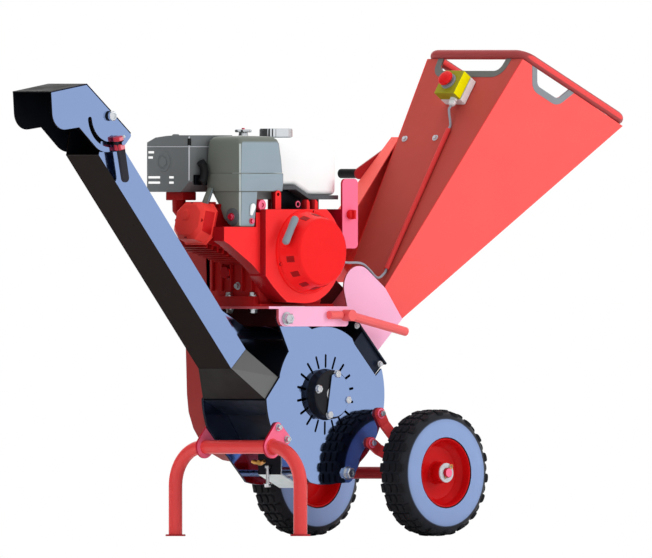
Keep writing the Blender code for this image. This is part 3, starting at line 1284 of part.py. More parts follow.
conduit_lift = GAP + CONDUIT_RADIUS
conduit_top = on_wall(*CONDUIT_START, conduit_lift)
conduit_end = on_wall(*CONDUIT_END, conduit_lift)
conduit = keep("cable_conduit", rod(conduit_top, conduit_end, CONDUIT_RADIUS, 16), DARK_RED)
conduit_way = (conduit_end - conduit_top).normalized()
cut(conduit, rod(conduit_top - conduit_way * 0.01, conduit_end + conduit_way * 0.01, CONDUIT_BORE, 12))

cable_route = [
    gland_tip + down_way * GAP,
    gland_tip + down_way * 0.012,
    conduit_top - conduit_way * 0.012,
    conduit_top,
    conduit_top.lerp(conduit_end, 0.05),
    conduit_top.lerp(conduit_end, 0.5),
    conduit_top.lerp(conduit_end, 0.95),
    conduit_end,
    conduit_end + conduit_way * 0.012,
    from_axle(-0.030, -0.0575, 0.632),
    from_axle(-0.060, -0.0600, 0.651),
    from_axle(-0.090, -0.0680, 0.665),
    from_axle(-0.123, -0.0790, 0.669),
    from_axle(-0.165, -0.0910, 0.669),
    from_axle(-0.200, -0.0985, 0.672),
    from_axle(-0.2245, -0.1000, 0.673),
]
keep("stop_cable", tube(smooth_path(cable_route, 0.014), CABLE_RADIUS, resolution=2), CABLE_GREY)

# Box section on the far side of the hopper, and the lever on it
brace_low_y = INFEED_HALF


def brace_outline(trim):
    """The box section seen from the side, made smaller all round by trim."""
    s_low, s_high, t_low, t_high = BRACE_FROM + trim, BRACE_TO - trim, BRACE_LOW + trim, BRACE_HIGH - trim
    return [in_feed(s, t) for s, t in ((s_low, t_low), (s_high, t_low), (s_high, t_high), (s_low, t_high))]


brace = keep("hopper_brace", plate_xz([brace_outline(0.0)], brace_low_y, BRACE_OUT), DARK_RED)
cut(brace, plate_xz([brace_outline(BRACE_WALL)], brace_low_y - 0.01, BRACE_OUT - BRACE_WALL))
far_normal = mirrored(side_normal)
slab_axes = far_normal.to_track_quat("Z", "Y").to_matrix().to_4x4()
slab = box((-1.0, -1.0, -0.5), (1.0, 1.0, WALL + GAP))
slab.transform(Matrix.Translation(mirrored(high_throat)) @ slab_axes)
combine(brace, slab, "DIFFERENCE", "hopper_brace_wall_cut")
lever_y = BRACE_OUT + GAP
lever_line = hull(circle(LEVER_PIVOT, LEVER_HUB) + circle(LEVER_END, LEVER_TIP, 16))
feed_lever = keep("feed_lever", plate_xz([lever_line], lever_y, lever_y + LEVER_THICKNESS), DARK_RED)
fuse(feed_lever, bar_y(LEVER_PIVOT, lever_y, lever_y + 0.012, 0.012, 6),
     bar_y(LEVER_PIVOT, BRACE_OUT - BRACE_WALL - 0.004, lever_y + 0.003, 0.005, 12))
combine(brace, bar_y(LEVER_PIVOT, BRACE_OUT - 0.02, BRACE_OUT + 0.01, 0.0055, 12),
        "DIFFERENCE", "hopper_brace_pivot_hole")
grip_from = lever_y + LEVER_THICKNESS + GAP
lever_grip = keep("feed_lever_grip", bar_y(LEVER_END, grip_from, grip_from + GRIP_LENGTH,
                                         GRIP_RADIUS), RUBBER)
hinge_at("feed_lever_axis", from_rotor(LEVER_PIVOT, lever_y), feed_lever, lever_grip)

# Stand: bent tube, foot discs and the plates that bolt it to the housing
stand_x = AXLE_X - STAND_BACK
stand_line = [(stand_x, -STAND_LEG, FOOT_DISC - 0.001), (stand_x, -STAND_LEG, STAND_HEIGHT),
              (stand_x, STAND_LEG, STAND_HEIGHT), (stand_x, STAND_LEG, FOOT_DISC - 0.001)]
stand = keep("stand", tube(rounded(stand_line, STAND_BEND, 7, closed=False), STAND_TUBE), DARK_RED)
ring_at = (stand_x - ROTOR_X, STAND_HEIGHT - ROTOR_HEIGHT)
bracket_line = hull(circle(ring_at, STAND_BRACKET_RING) + circle(STAND_BOLTS[0], 0.013, 12)
                    + circle(STAND_BOLTS[1], 0.013, 12))
for side_name, side in SIDES:
    bracket_in, bracket_out = side * (PLATE_OUT + GAP), side * (PLATE_OUT + GAP + PLATE)
    foot_at = Vector((stand_x, side * STAND_LEG, 0))
    fuse_more(stand, f"{side_name}_foot", rod(foot_at, foot_at + Vector((0, 0, FOOT_DISC)), FOOT_RADIUS))
    fuse_more(stand, f"{side_name}_bracket", plate_xz([bracket_line], bracket_in, bracket_out))
    for index, place in enumerate(STAND_BOLTS):
        shank = bar_y(place, side * SHANK_IN, bracket_in + side * BITE, SMALL_BOLT_RADIUS, 12)
        head = bar_y(place, bracket_out - side * BITE, bracket_out + side * SMALL_HEAD, SMALL_HEAD_RADIUS, 6)
        fuse_more(stand, f"{side_name}_shank_{index}", shank)
        fuse_more(stand, f"{side_name}_head_{index}", head)

# Axle, its struts and the wheels
axle_at = Vector((AXLE_X, 0, WHEEL_RADIUS))
wheel_mid = TRACK / 2
hub_out = wheel_mid + HUB_LENGTH / 2
axle_half = hub_out + AXLE_END

def along_axle(y):
    """World place of a point on the axle."""
    return axle_at + Vector((0, y, 0))


axle = keep("axle", rod(along_axle(-axle_half), along_axle(axle_half), AXLE_RADIUS), STEEL)
for side_name, side in SIDES:
    washer_from = side * (hub_out + GAP)
    washer = rod(along_axle(washer_from), along_axle(washer_from + side * AXLE_WASHER), HUB_RADIUS - 0.003)
    fuse_more(axle, f"{side_name}_washer", washer)
    boss_low, boss_high = along_axle(side * (STRUT_OUT - STRUT_BOSS_LENGTH)), along_axle(side * STRUT_OUT)
    strut = keep(f"{side_name}_axle_strut", rod(boss_low, boss_high, STRUT_BOSS), DARK_RED)
    pad_in, pad_out = side * (PLATE_OUT + GAP), side * (PLATE_OUT + GAP + STRUT_THICKNESS)
    for index, place in enumerate(STRUT_PADS):
        pad = from_rotor(place, (pad_in + pad_out) / 2)
        boss = (boss_low + boss_high) / 2
        along = boss - pad
        along.y = 0
        length = along.length
        start_x, slope = 0.030, (boss.y - pad.y)
        path = [(0.0, pad.y), (start_x, pad.y), (length - 0.026, boss.y), (length, boss.y)]
        flat_side = STRUT_THICKNESS / 2 - TUCK
        line = [(u, v - flat_side) for u, v in path] + [(u, v + flat_side) for u, v in reversed(path)]
        way = along.normalized()
        across = Vector((0, 1, 0)).cross(way) * -1
        columns = (way, Vector((0, 1, 0)), way.cross(Vector((0, 1, 0))), Vector((pad.x, 0, pad.z)))
        frame = Matrix([[column[i] for column in columns] for i in range(3)] + [[0, 0, 0, 1]])
        fuse_more(strut, f"bar_{index}", flat([line], STRUT_WIDTH, frame))
        pad_disc = plate_xz([circle(place, STRUT_WIDTH / 2 + 0.0005)], pad_in, pad_out)
        fuse_more(strut, f"pad_{index}", pad_disc)
        shank = bar_y(place, side * SHANK_IN, pad_in + side * BITE, SMALL_BOLT_RADIUS, 12)
        head = bar_y(place, pad_out - side * BITE, pad_out + side * SMALL_HEAD, SMALL_HEAD_RADIUS, 6)
        fuse_more(strut, f"shank_{index}", shank)
        fuse_more(strut, f"head_{index}", head)
    combine(strut, rod(boss_low - Vector((0, side * 0.02, 0)), boss_high + Vector((0, side * 0.02, 0)),
                       AXLE_RADIUS + GAP), "DIFFERENCE", f"{side_name}_strut_bore")

    wheel_at = axle_at + Vector((0, side * wheel_mid, 0))
    half = WHEEL_WIDTH / 2
    tyre_half = [(TYRE_BEAD + GAP, half - 0.010), (TYRE_BEAD + 0.004, half - 0.002), (0.125, half),
                 (WHEEL_RADIUS - 0.013, half - 0.004), (WHEEL_RADIUS - 0.001, half - 0.013),
                 (WHEEL_RADIUS, half - 0.024)]
    tyre_profile = tyre_half + [(radius, -height) for radius, height in reversed(tyre_half)]
    outwards = (0, side, 0)
    tyre = turned(f"{side_name}_tyre", tyre_profile, wheel_at, outwards, RUBBER, WHEEL_STEPS, closed=True)
    rim_half, hub_half = RIM_WIDTH / 2, HUB_LENGTH / 2
    bore = AXLE_RADIUS + GAP
    rim_disc = TYRE_BEAD - 0.012
    rim_profile = [(bore, hub_half), (HUB_RADIUS - 0.004, hub_half), (HUB_RADIUS, hub_half - 0.004),
                   (HUB_RADIUS, 0.010), (0.058, 0.004), (rim_disc, 0.012), (TYRE_BEAD - 0.005, rim_half),
                   (TYRE_BEAD, rim_half), (TYRE_BEAD, -rim_half), (TYRE_BEAD - 0.005, -rim_half),
                   (rim_disc, 0.012 - RIM_SHEET * 2), (0.058, 0.004 - RIM_SHEET), (HUB_RADIUS, -0.002),
                   (HUB_RADIUS, -hub_half), (bore, -hub_half)]
    rim = turned(f"{side_name}_rim", rim_profile, wheel_at, outwards, RED, WHEEL_STEPS, closed=True)
    hinge_at(f"{side_name}_wheel_axis", wheel_at, tyre, rim)

# Bracket under the housing
seat_x, seat_z = arc((0, 0), CASING_RADIUS + SHEET + GAP, UNDER_BRACKET_TURN, 0, 1)[0]
bracket_left = seat_x - UNDER_BRACKET_SHEET
bracket_path = [(bracket_left, seat_z), (bracket_left, UNDER_BRACKET_BEND), UNDER_BRACKET_TIP]
keep("under_bracket", plate_xz([ribbon(bracket_path, UNDER_BRACKET_SHEET)], -UNDER_BRACKET_HALF,
                               UNDER_BRACKET_HALF), STEEL)
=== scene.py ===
# %% [markdown]
# A compact garden shredder, dressed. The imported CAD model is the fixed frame: it gives every
# piece its place. This script gives the pieces their finishes, and replaces the plain ones, such
# as the tyres and the engine's covers, with finely modelled ones. The camera comes first, then
# the studio, then the finishes, then the machine from its wheels up to its hopper.

# %% Load the frame
import json
import math

import bmesh
import bpy
from mathutils import Matrix, Vector

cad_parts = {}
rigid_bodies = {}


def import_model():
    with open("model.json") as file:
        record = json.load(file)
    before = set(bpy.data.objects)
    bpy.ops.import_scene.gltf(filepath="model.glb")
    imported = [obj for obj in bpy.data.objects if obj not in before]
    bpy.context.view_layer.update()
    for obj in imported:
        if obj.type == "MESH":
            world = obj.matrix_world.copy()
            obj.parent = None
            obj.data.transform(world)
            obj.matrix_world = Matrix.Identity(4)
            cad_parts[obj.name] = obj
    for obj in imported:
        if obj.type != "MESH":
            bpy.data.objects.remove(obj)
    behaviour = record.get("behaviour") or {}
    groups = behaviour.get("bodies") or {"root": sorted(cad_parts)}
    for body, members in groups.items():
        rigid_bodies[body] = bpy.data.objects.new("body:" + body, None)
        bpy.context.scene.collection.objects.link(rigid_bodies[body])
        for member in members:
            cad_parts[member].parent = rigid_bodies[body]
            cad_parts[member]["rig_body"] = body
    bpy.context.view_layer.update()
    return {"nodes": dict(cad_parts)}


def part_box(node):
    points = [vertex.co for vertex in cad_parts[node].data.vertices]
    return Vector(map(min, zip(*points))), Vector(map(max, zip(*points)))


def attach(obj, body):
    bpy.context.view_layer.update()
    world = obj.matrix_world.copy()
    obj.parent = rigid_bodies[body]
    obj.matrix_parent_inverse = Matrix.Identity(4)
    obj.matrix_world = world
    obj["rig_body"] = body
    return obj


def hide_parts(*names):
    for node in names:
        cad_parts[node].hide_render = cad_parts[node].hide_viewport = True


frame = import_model()
nodes = frame["nodes"]
scene = bpy.context.scene

# %% [markdown]
# The machine was seen from its chute side and its near side at once, halfway between -X and -Y,
# level with its middle. The view is orthographic: equal lengths stay equal whether they are near or
# far, as in a workshop drawing.

# %% Camera
AXLE_X = 0.2213
FRAME_WIDTH = 1.595
CAMERA_DISTANCE = 8.0
LOOK_AT = Vector((0.035, -0.035, 0.629))

camera_data = bpy.data.cameras.new("camera")
camera_data.type = "ORTHO"
camera_data.ortho_scale = FRAME_WIDTH
camera_data.clip_end = 60.0
camera = bpy.data.objects.new("camera", camera_data)
scene.collection.objects.link(camera)
camera.location = LOOK_AT + Vector((-1.0, -1.0, 0.0)).normalized() * CAMERA_DISTANCE
camera.rotation_euler = (LOOK_AT - camera.location).to_track_quat("-Z", "Y").to_euler()
scene.camera = camera
print("frame width", FRAME_WIDTH, "m")

# %% [markdown]
# Three short helpers carry every material. One turns a colour as a painter writes it, in sRGB hex,
# into the linear numbers a shader adds up. One adds a node with its settings and links, so that a
# tree reads as a list of what it does. The last starts a new material.

# %% Colour and node helpers
def linear(text):
    """The linear colour of an sRGB hex value."""
    channels = [int(text[i:i + 2], 16) / 255 for i in (1, 3, 5)]
    return (*[c / 12.92 if c <= 0.04045 else ((c + 0.055) / 1.055) ** 2.4 for c in channels], 1.0)


def add(tree, kind, inputs=None, **settings):
    """Adds a node, with its settings, its values and its links."""
    node = tree.nodes.new(kind)
    for name, value in settings.items():
        setattr(node, name, value)
    for name, value in (inputs or {}).items():
        if isinstance(value, bpy.types.NodeSocket):
            tree.links.new(value, node.inputs[name])
        else:
            node.inputs[name].default_value = value
    return node


def blank_material(name):
    """A new material, its tree and its shader."""
    material = bpy.data.materials.new(name)
    material.use_nodes = True
    tree = material.node_tree
    shader = tree.nodes["Principled BSDF"]
    return material, tree, shader

# %% [markdown]
# The studio is plain: a pale floor, a white surround and soft lamps. The surround is white to the
# camera. What lights the machine is weaker, so that a colour comes out about as it is written. In
# reflections the surround is white on the near side and dark past the chute, as if a dark curtain
# hung there, which is what gives gloss paint its depth. The Light Path node tells these rays apart.
# Four soft lamps stand on the near side, past the chute, above and behind, and don't show in
# reflections.

# %% Studio
WORLD_LIGHT = 0.42
FLOOR_SIZE = 14.0
LAMPS = (("side_lamp", (3.2, -6.0, 3.2), 5.0, 255.0), ("chute_lamp", (-6.5, -1.0, 3.0), 4.0, 120.0),
         ("top_lamp", (0.5, 1.5, 6.0), 5.0, 150.0), ("back_lamp", (1.0, 6.0, 3.0), 4.0, 150.0))
CURTAIN_WAY = (-0.707, 0.707, 0.0)
CURTAIN_SHADE = 0.06
CURTAIN_FROM, CURTAIN_TO = 0.25, 0.75
FLOOR_GLOW = 0.55

world = bpy.data.worlds.new("studio")
scene.world = world
world.use_nodes = True
sky = world.node_tree
rays = add(sky, "ShaderNodeLightPath")
seen = add(sky, "ShaderNodeMath",
           {0: rays.outputs["Is Camera Ray"], 1: rays.outputs["Is Transmission Ray"]}, operation="MAXIMUM")
way = add(sky, "ShaderNodeTexCoord")
towards = add(sky, "ShaderNodeVectorMath", {0: way.outputs["Generated"], 1: CURTAIN_WAY},
              operation="DOT_PRODUCT")
mirrored = add(sky, "ShaderNodeMapRange", {"Value": towards.outputs["Value"], "From Min": CURTAIN_FROM,
                                           "From Max": CURTAIN_TO, "To Min": 1.0, "To Max": CURTAIN_SHADE},
               interpolation_type="SMOOTHSTEP")
lit = add(sky, "ShaderNodeMix", {0: rays.outputs["Is Glossy Ray"], 2: WORLD_LIGHT,
                                 3: mirrored.outputs["Result"]}, data_type="FLOAT")
strength = add(sky, "ShaderNodeMix", {0: seen.outputs[0], 2: lit.outputs[0], 3: 1.0}, data_type="FLOAT")
sky.links.new(strength.outputs[0], sky.nodes["Background"].inputs["Strength"])
sky.nodes["Background"].inputs["Color"].default_value = (1.0, 1.0, 1.0, 1.0)

for lamp_name, place, size, power in LAMPS:
    lamp_data = bpy.data.lights.new(lamp_name, "AREA")
    lamp_data.size = size
    lamp_data.energy = power
    lamp = bpy.data.objects.new(lamp_name, lamp_data)
    lamp.visible_glossy = False
    scene.collection.objects.link(lamp)
    lamp.location = place
    lamp.rotation_euler = (Vector((0, 0, 0.6)) - Vector(place)).to_track_quat("-Z", "Y").to_euler()

floor_paint, tree, shader = blank_material("studio_floor")
shader.inputs["Base Color"].default_value = linear("#F4F4F4")
shader.inputs["Roughness"].default_value = 0.9
rays = add(tree, "ShaderNodeLightPath")
glow = add(tree, "ShaderNodeEmission", {"Color": (1.0, 1.0, 1.0, 1.0), "Strength": 1.0})
share = add(tree, "ShaderNodeMath", {0: rays.outputs["Is Camera Ray"], 1: FLOOR_GLOW}, operation="MULTIPLY")
both = add(tree, "ShaderNodeMixShader", {0: share.outputs[0], 1: shader.outputs[0], 2: glow.outputs[0]})
tree.links.new(both.outputs[0], tree.nodes["Material Output"].inputs["Surface"])

floor_mesh = bpy.data.meshes.new("studio_floor")
reach = FLOOR_SIZE / 2
floor_mesh.from_pydata([(-reach, -reach, 0), (reach, -reach, 0), (reach, reach, 0), (-reach, reach, 0)], [],
                       [(0, 1, 2, 3)])
floor_mesh.materials.append(floor_paint)
floor = bpy.data.objects.new("studio_floor", floor_mesh)
scene.collection.objects.link(floor)
scene.view_settings.view_transform = "Standard"
print("studio:", len(LAMPS), "lamps over a floor of", FLOOR_SIZE, "m")

# %% [markdown]
# Most of the machine is sheet steel and castings under paint. Powder coat is a thick, slightly
# pebbled skin, and the engine's enamel is thinner and glossier. The pebbles are drawn 2 mm across,
# coarser than real ones, which are too fine to show. Scuffs of about 42 mm change the gloss a little.
# In the studio's light the real machine's black parts show a cool blue reflection on the faces that
# stand along its length and stay nearly black on the others, and the red parts turn pale in the same
# way. Here that sheen is painted: a painted sheen on the long sides, and on most red coats painted
# shade on the ends. It is chosen by the way a face points, from the Normal output of Texture
# Coordinate, so it stays on its face in every view.

# %% How a paint is made
PEEL_SIZE = 0.0022
PEEL_HEIGHT = 0.00003
BLOTCH_SIZE = 0.09
SCUFF_SIZE = 1 / 24


def painted_sheen_share(tree, coordinates, low=0.8, high=0.92):
    """How far a face points along Y, the share of the painted sheen: 0 for the ends, 1 for the long sides.
    """
    parts = add(tree, "ShaderNodeSeparateXYZ", {0: coordinates.outputs["Normal"]})
    size = add(tree, "ShaderNodeMath", {0: parts.outputs["Y"]}, operation="ABSOLUTE")
    return add(tree, "ShaderNodeMapRange", {"Value": size.outputs[0], "From Min": low, "From Max": high},
               interpolation_type="SMOOTHSTEP").outputs["Result"]


def painted_sheen_tones(tree, coordinates, colour, side, *limits):
    """The colour on the ends and a painted sheen on the long sides, and the share of the sheen."""
    if not side:
        return linear(colour), None
    share = painted_sheen_share(tree, coordinates, *limits)
    tones = add(tree, "ShaderNodeMix", {0: share, 6: linear(colour), 7: linear(side)}, data_type="RGBA")
    return tones.outputs[2], share


def vary(tree, coordinates, colour, amount, size=BLOTCH_SIZE):
    """A colour that drifts a little darker and lighter over the surface."""
    blotch = add(tree, "ShaderNodeTexNoise", {"Vector": coordinates.outputs["Object"], "Scale": 1 / size,
                                              "Detail": 3.0})
    level = add(tree, "ShaderNodeMapRange", {"Value": blotch.outputs["Fac"], "To Min": 1 - amount,
                                             "To Max": 1 + amount})
    drifting = add(tree, "ShaderNodeHueSaturation", {"Value": level.outputs["Result"], "Color": colour})
    return drifting.outputs["Color"]


def pebble(tree, coordinates, shader, size, height):
    """The fine unevenness of a skin, as a bump."""
    grain = add(tree, "ShaderNodeTexNoise", {"Vector": coordinates.outputs["Object"], "Scale": 1 / size,
                                             "Detail": 2.0})
    bump = add(tree, "ShaderNodeBump", {"Height": grain.outputs["Fac"], "Distance": height, "Strength": 1.0})
    tree.links.new(bump.outputs["Normal"], shader.inputs["Normal"])


def paint(name, colour, side=None, roughness=0.3, peel=PEEL_HEIGHT, drift=0.05, mirror=None, specular=0.12):
    """A paint, with a painted sheen on the faces along the machine; mirror is their roughness."""
    material, tree, shader = blank_material(name)
    coordinates = add(tree, "ShaderNodeTexCoord")
    shade, share = painted_sheen_tones(tree, coordinates, colour, side)
    tree.links.new(vary(tree, coordinates, shade, drift), shader.inputs["Base Color"])
    scuff = add(tree, "ShaderNodeTexNoise", {"Vector": coordinates.outputs["Object"],
                                             "Scale": 1 / SCUFF_SIZE, "Detail": 6.0})
    gloss = add(tree, "ShaderNodeMapRange", {"Value": scuff.outputs["Fac"], "From Min": 0.3,
                                             "From Max": 0.7, "To Min": roughness * 0.85,
                                             "To Max": roughness * 1.2})
    tree.links.new(gloss.outputs["Result"], shader.inputs["Roughness"])
    shader.inputs["Specular IOR Level"].default_value = specular
    if mirror:
        polish = add(tree, "ShaderNodeMix", {0: share, 2: gloss.outputs["Result"], 3: mirror},
                     data_type="FLOAT")
        tree.links.new(polish.outputs[0], shader.inputs["Roughness"])
        tree.links.new(share, shader.inputs["Metallic"])
    pebble(tree, coordinates, shader, PEEL_SIZE, peel)
    return material


# %% [markdown]
# The paints themselves: the powder coats of the sheet metal, then the engine's enamels. The first
# colour is for the ends of the machine and the second for its long sides. The second is a painted
# sheen: bluish on the black coats, grey on the guide coat and pale red on the red ones, and on most
# red coats the darker first colour is painted shade. The two black gloss coats are polished on the
# long sides, so that the side plates mirror the wheels and bolts.

# %% Painted finishes
BLACK_COAT = paint("black_gloss_powder_coat", "#180F0B", "#8BA2CF", 0.32, mirror=0.09, peel=0.00001,
                   drift=0.02, specular=0.04)
PLATE_COAT = paint("black_plate_powder_coat", "#12161F", "#8BA2CF", 0.32, mirror=0.05, peel=0.000005,
                   drift=0.02)
# The navy tint of this black coat is a painted dark sheen.
DARK_SHEEN_COAT = paint("black_inner_coat_dark_sheen", "#0E121B", "#1A2233", 0.35)
# The grey on this black coat's long sides is painted sheen.
GUIDE_COAT = paint("black_guide_coat_painted_sheen", "#15100E", "#777878", 0.4)
HOPPER_COAT = paint("red_hopper_powder_coat", "#E0403C", "#FF605D", 0.42)
# This is the hopper's red with painted shade, for the upper wall that lies in shade.
UPPER_SHADE_COAT = paint("hopper_red_painted_shade", "#B84A42", "#C4524B", 0.45)
# The pink on the long sides of these two reds is painted sheen.
RED_SHEEN_COAT = paint("red_powder_coat_painted_sheen", "#C4525C", "#FFBCDD", 0.4)
PANEL_COAT = paint("red_enamel_painted_sheen", "#B5122A", "#FF7698", 0.35)
TUBE_COAT = paint("red_tube_powder_coat", "#DA3F3F", None, 0.36)
GUARD_COAT = paint("brownish_guard_coat", "#92302F", "#B02B2F", 0.42)
STAND_COAT = paint("red_stand_powder_coat", "#E24242", None, 0.24, specular=0.35)
LEVER_COAT = paint("red_lever_powder_coat", "#F56B6B", None, 0.36)
DARK_TUBE_COAT = paint("dark_red_powder_coat", "#A3252A", "#B02B2F", 0.42)
# The engine's pale sides are painted sheen and its dark ends painted shade; on the valve cover the ends
# carry the painted light.
ENGINE_ENAMEL = paint("red_engine_enamel", "#941016", "#FF2E30", 0.22, peel=0.00002)
ENGINE_ROUND = paint("red_engine_gloss", "#F81C1E", None, 0.18, peel=0.00001)
ENGINE_CAST = paint("red_cast_enamel", "#9C0E10", "#A81217", 0.45, peel=0.00012)
VALVE_ENAMEL = paint("red_valve_enamel", "#FA433D", "#C81A1E", 0.4, peel=0.00006)
RIM_ENAMEL = paint("red_rim_enamel", "#C81014", None, 0.3)
print("materials with the paints:", len(bpy.data.materials))

# %% [markdown]
# The bare metals: zinc plate on bolts and washers, with its faint cloudy passivation, darker phosphated
# castings, chrome on the tank's cap, and brass on the split pins and the bracket's wing nut. A metal's
# colour is its reflection, so each keeps metallic at 1 and differs in tint and roughness. The clouds
# are about 11 mm across. The grain is drawn 4 mm across, because a real one is too fine to show. The
# muffler's guard wears a dull grey heat enamel.

# %% Bare metals
CLOUD_SIZE = 1 / 90


def metal(name, colour, roughness, grain=0.004, height=0.00004, drift=0.12):
    """A bare metal, with clouds in its tint and a fine grain."""
    material, tree, shader = blank_material(name)
    coordinates = add(tree, "ShaderNodeTexCoord")
    tree.links.new(vary(tree, coordinates, linear(colour), drift, 0.02), shader.inputs["Base Color"])
    shader.inputs["Metallic"].default_value = 1.0
    clouds = add(tree, "ShaderNodeTexNoise", {"Vector": coordinates.outputs["Object"],
                                              "Scale": 1 / CLOUD_SIZE, "Detail": 4.0})
    gloss = add(tree, "ShaderNodeMapRange", {"Value": clouds.outputs["Fac"], "To Min": roughness * 0.75,
                                             "To Max": roughness * 1.3})
    tree.links.new(gloss.outputs["Result"], shader.inputs["Roughness"])
    pebble(tree, coordinates, shader, grain, height)
    return material


ZINC = metal("zinc_plated_steel", "#C9CCD0", 0.28)
ZINC_SHEET = metal("galvanised_sheet", "#F2FFFF", 0.5)
CAST = metal("phosphated_cast_iron", "#2C2D31", 0.42, 0.0015, 0.00012)
DARK_SHEET = metal("blackened_sheet_steel", "#1B1D22", 0.4)
CHROME = metal("bright_chrome", "#D6DADE", 0.1, 0.002, 0.000005, 0.03)
BRASS = metal("turned_brass", "#D9A65A", 0.3)
MUFFLER_METAL = paint("grey_heat_enamel", "#767A7C", None, 0.5, 0.00006)
print("materials with the metals:", len(bpy.data.materials))

# %% [markdown]
# Moulded plastics and rubber. ABS and nylon covers are evenly coloured with a fine spark-eroded
# texture from the mould, which is drawn about 1 mm across, coarser than a real one. Tyre rubber is
# nearly black, dull on the tread, and its sidewall gets the same painted blue sheen as the black paint.

# %% Plastics and rubber
def moulded(name, colour, roughness, side=None, grain=0.0009, height=0.00003):
    """A moulded plastic or rubber with a fine mould texture, and with side a painted sheen on its long
    sides.
    """
    material, tree, shader = blank_material(name)
    coordinates = add(tree, "ShaderNodeTexCoord")
    shade = painted_sheen_tones(tree, coordinates, colour, side, 0.9, 0.98)[0]
    tree.links.new(vary(tree, coordinates, shade, 0.04, 0.05), shader.inputs["Base Color"])
    shader.inputs["Roughness"].default_value = roughness
    shader.inputs["Specular IOR Level"].default_value = 0.2
    pebble(tree, coordinates, shader, grain, height)
    return material


# The cleaner's blue-grey second colour is painted sheen.
CLEANER_PLASTIC = moulded("grey_cleaner_plastic", "#71766F", 0.38, "#94A4AF")
GRIP_PLASTIC = moulded("grey_grip_plastic", "#86919A", 0.42)
TANK_ENAMEL = moulded("white_tank_enamel", "#FDFFFF", 0.28, None, 0.002, 0.00001)
FLANGE_GREY = moulded("dark_grey_flange_enamel", "#54585C", 0.4)
BLACK_RUBBER = moulded("black_moulded_rubber", "#17181A", 0.6)
TYRE_RUBBER = moulded("tyre_tread_rubber", "#141519", 0.72)
SIDEWALL_RUBBER = moulded("tyre_sidewall_rubber", "#1A1C22", 0.5, "#8BA2CF")
TRIM_RUBBER = moulded("grey_edge_trim", "#8C9197", 0.5)
# The upper strip is the same grey trim, darkened as painted shade.
UPPER_TRIM = moulded("edge_trim_painted_shade", "#6A6B69", 0.5)
# The stop box's bright second colours are painted light, and its darker first colours painted shade.
STOP_WHITE = moulded("white_stop_plastic", "#DADDDD", 0.35, "#FFFFFF")
STOP_YELLOW = moulded("yellow_stop_plastic", "#97941F", 0.35, "#FFFC00")
STOP_RED = moulded("red_button_plastic", "#E01A1E", 0.3)
PALE_GREY = moulded("pale_grey_plastic", "#C9CCD2", 0.4)
CABLE_SHEATH = moulded("grey_cable_sheath", "#969BA5", 0.45)
print("materials with plastics and rubber:", len(bpy.data.materials))

# %% [markdown]
# The whole machine is bolted round three shafts: the wheels' axle, the rotor's shaft and the engine's
# crankshaft. Every place is counted from one of them, so that a shape can be checked against it.

# %% Axes and directions
ROTOR_X = AXLE_X - 0.267
ROTOR_Z = 0.3465
CRANK_X = AXLE_X - 0.35
CRANK_Z = 0.696
UP = (0, 0, 1)
NEAR_WAY = (0, -1, 0)
CHUTE_WAY = (-1, 0, 0)
SIDES = (("near", -1), ("far", 1))


def from_axle(x, y, z):
    """World place of a point whose X is counted from the wheel axle."""
    return Vector((AXLE_X + x, y, z))


def from_rotor(point, y=0.0):
    """World place of a point given along X and Z from the rotor's axis."""
    return Vector((ROTOR_X + point[0], y, ROTOR_Z + point[1]))


def beside_crank(x, y, z):
    """World place of a point whose X is counted from the crankshaft."""
    return Vector((CRANK_X + x, y, z))


print("crankshaft above the rotor's shaft:", round(CRANK_Z - ROTOR_Z, 4), "m")

# %% [markdown]
# The CAD nodes are sharp and faceted. Real sheet metal has a small break on every edge, and it is
# that thin bright line that makes an edge look real. So each plain node is copied, its loose
# triangles are merged, its flat faces joined, and a Bevel modifier rounds its edges by a fraction of
# a millimetre. The copy takes the node's place, and the node stays underneath for the physics.

# %% Pieces with rounded edges
SMOOTH_ANGLE = math.radians(35)
BEVEL_ANGLE = math.radians(32)
FLAT_ANGLE = math.radians(0.6)


def mesh_from(shape, name):
    """A mesh from a bmesh, its faces turned outwards."""
    bmesh.ops.recalc_face_normals(shape, faces=shape.faces)
    mesh = bpy.data.meshes.new(name)
    shape.to_mesh(mesh)
    shape.free()
    return mesh


def piece(name, mesh, material, stands_for=(), body="chassis", edge=0.0, segments=2):
    """A finished piece: shaded smooth, its edges rounded, riding on a body."""
    thing = bpy.data.objects.new(name, mesh)
    scene.collection.objects.link(thing)
    mesh.materials.append(material)
    mesh.shade_smooth()
    mesh.set_sharp_from_angle(angle=SMOOTH_ANGLE)
    if edge:
        rounding = thing.modifiers.new("rounded_edges", "BEVEL")
        rounding.width = edge
        rounding.segments = segments
        rounding.limit_method = "ANGLE"
        rounding.angle_limit = BEVEL_ANGLE
        rounding.harden_normals = True
    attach(thing, body)
    if stands_for:
        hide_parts(*stands_for)
    return thing


def merged(node):
    """A copy of a CAD node's mesh, its triangles merged into flat faces."""
    shape = bmesh.new()
    shape.from_mesh(nodes[node].data)
    bmesh.ops.remove_doubles(shape, verts=shape.verts, dist=1e-5)
    bmesh.ops.dissolve_limit(shape, angle_limit=FLAT_ANGLE, verts=shape.verts, edges=shape.edges)
    mesh = bpy.data.meshes.new(f"{node}_skin")
    shape.to_mesh(mesh)
    shape.free()
    return mesh


def soften(node, material, edge=0.0008, segments=2):
    """A CAD node with rounded edges and its own finish."""
    return piece(f"{node}_skin", merged(node), material, (node,), body=nodes[node]["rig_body"], edge=edge,
                 segments=segments)


# %% [markdown]
# Round parts are turned from half of their section, as on a lathe. Blender's Spin tool could do it
# too, but it leaves doubled points on the axis, so the rings are written out here. Other solid parts
# run through a stack of outlines, or are plain boxes.

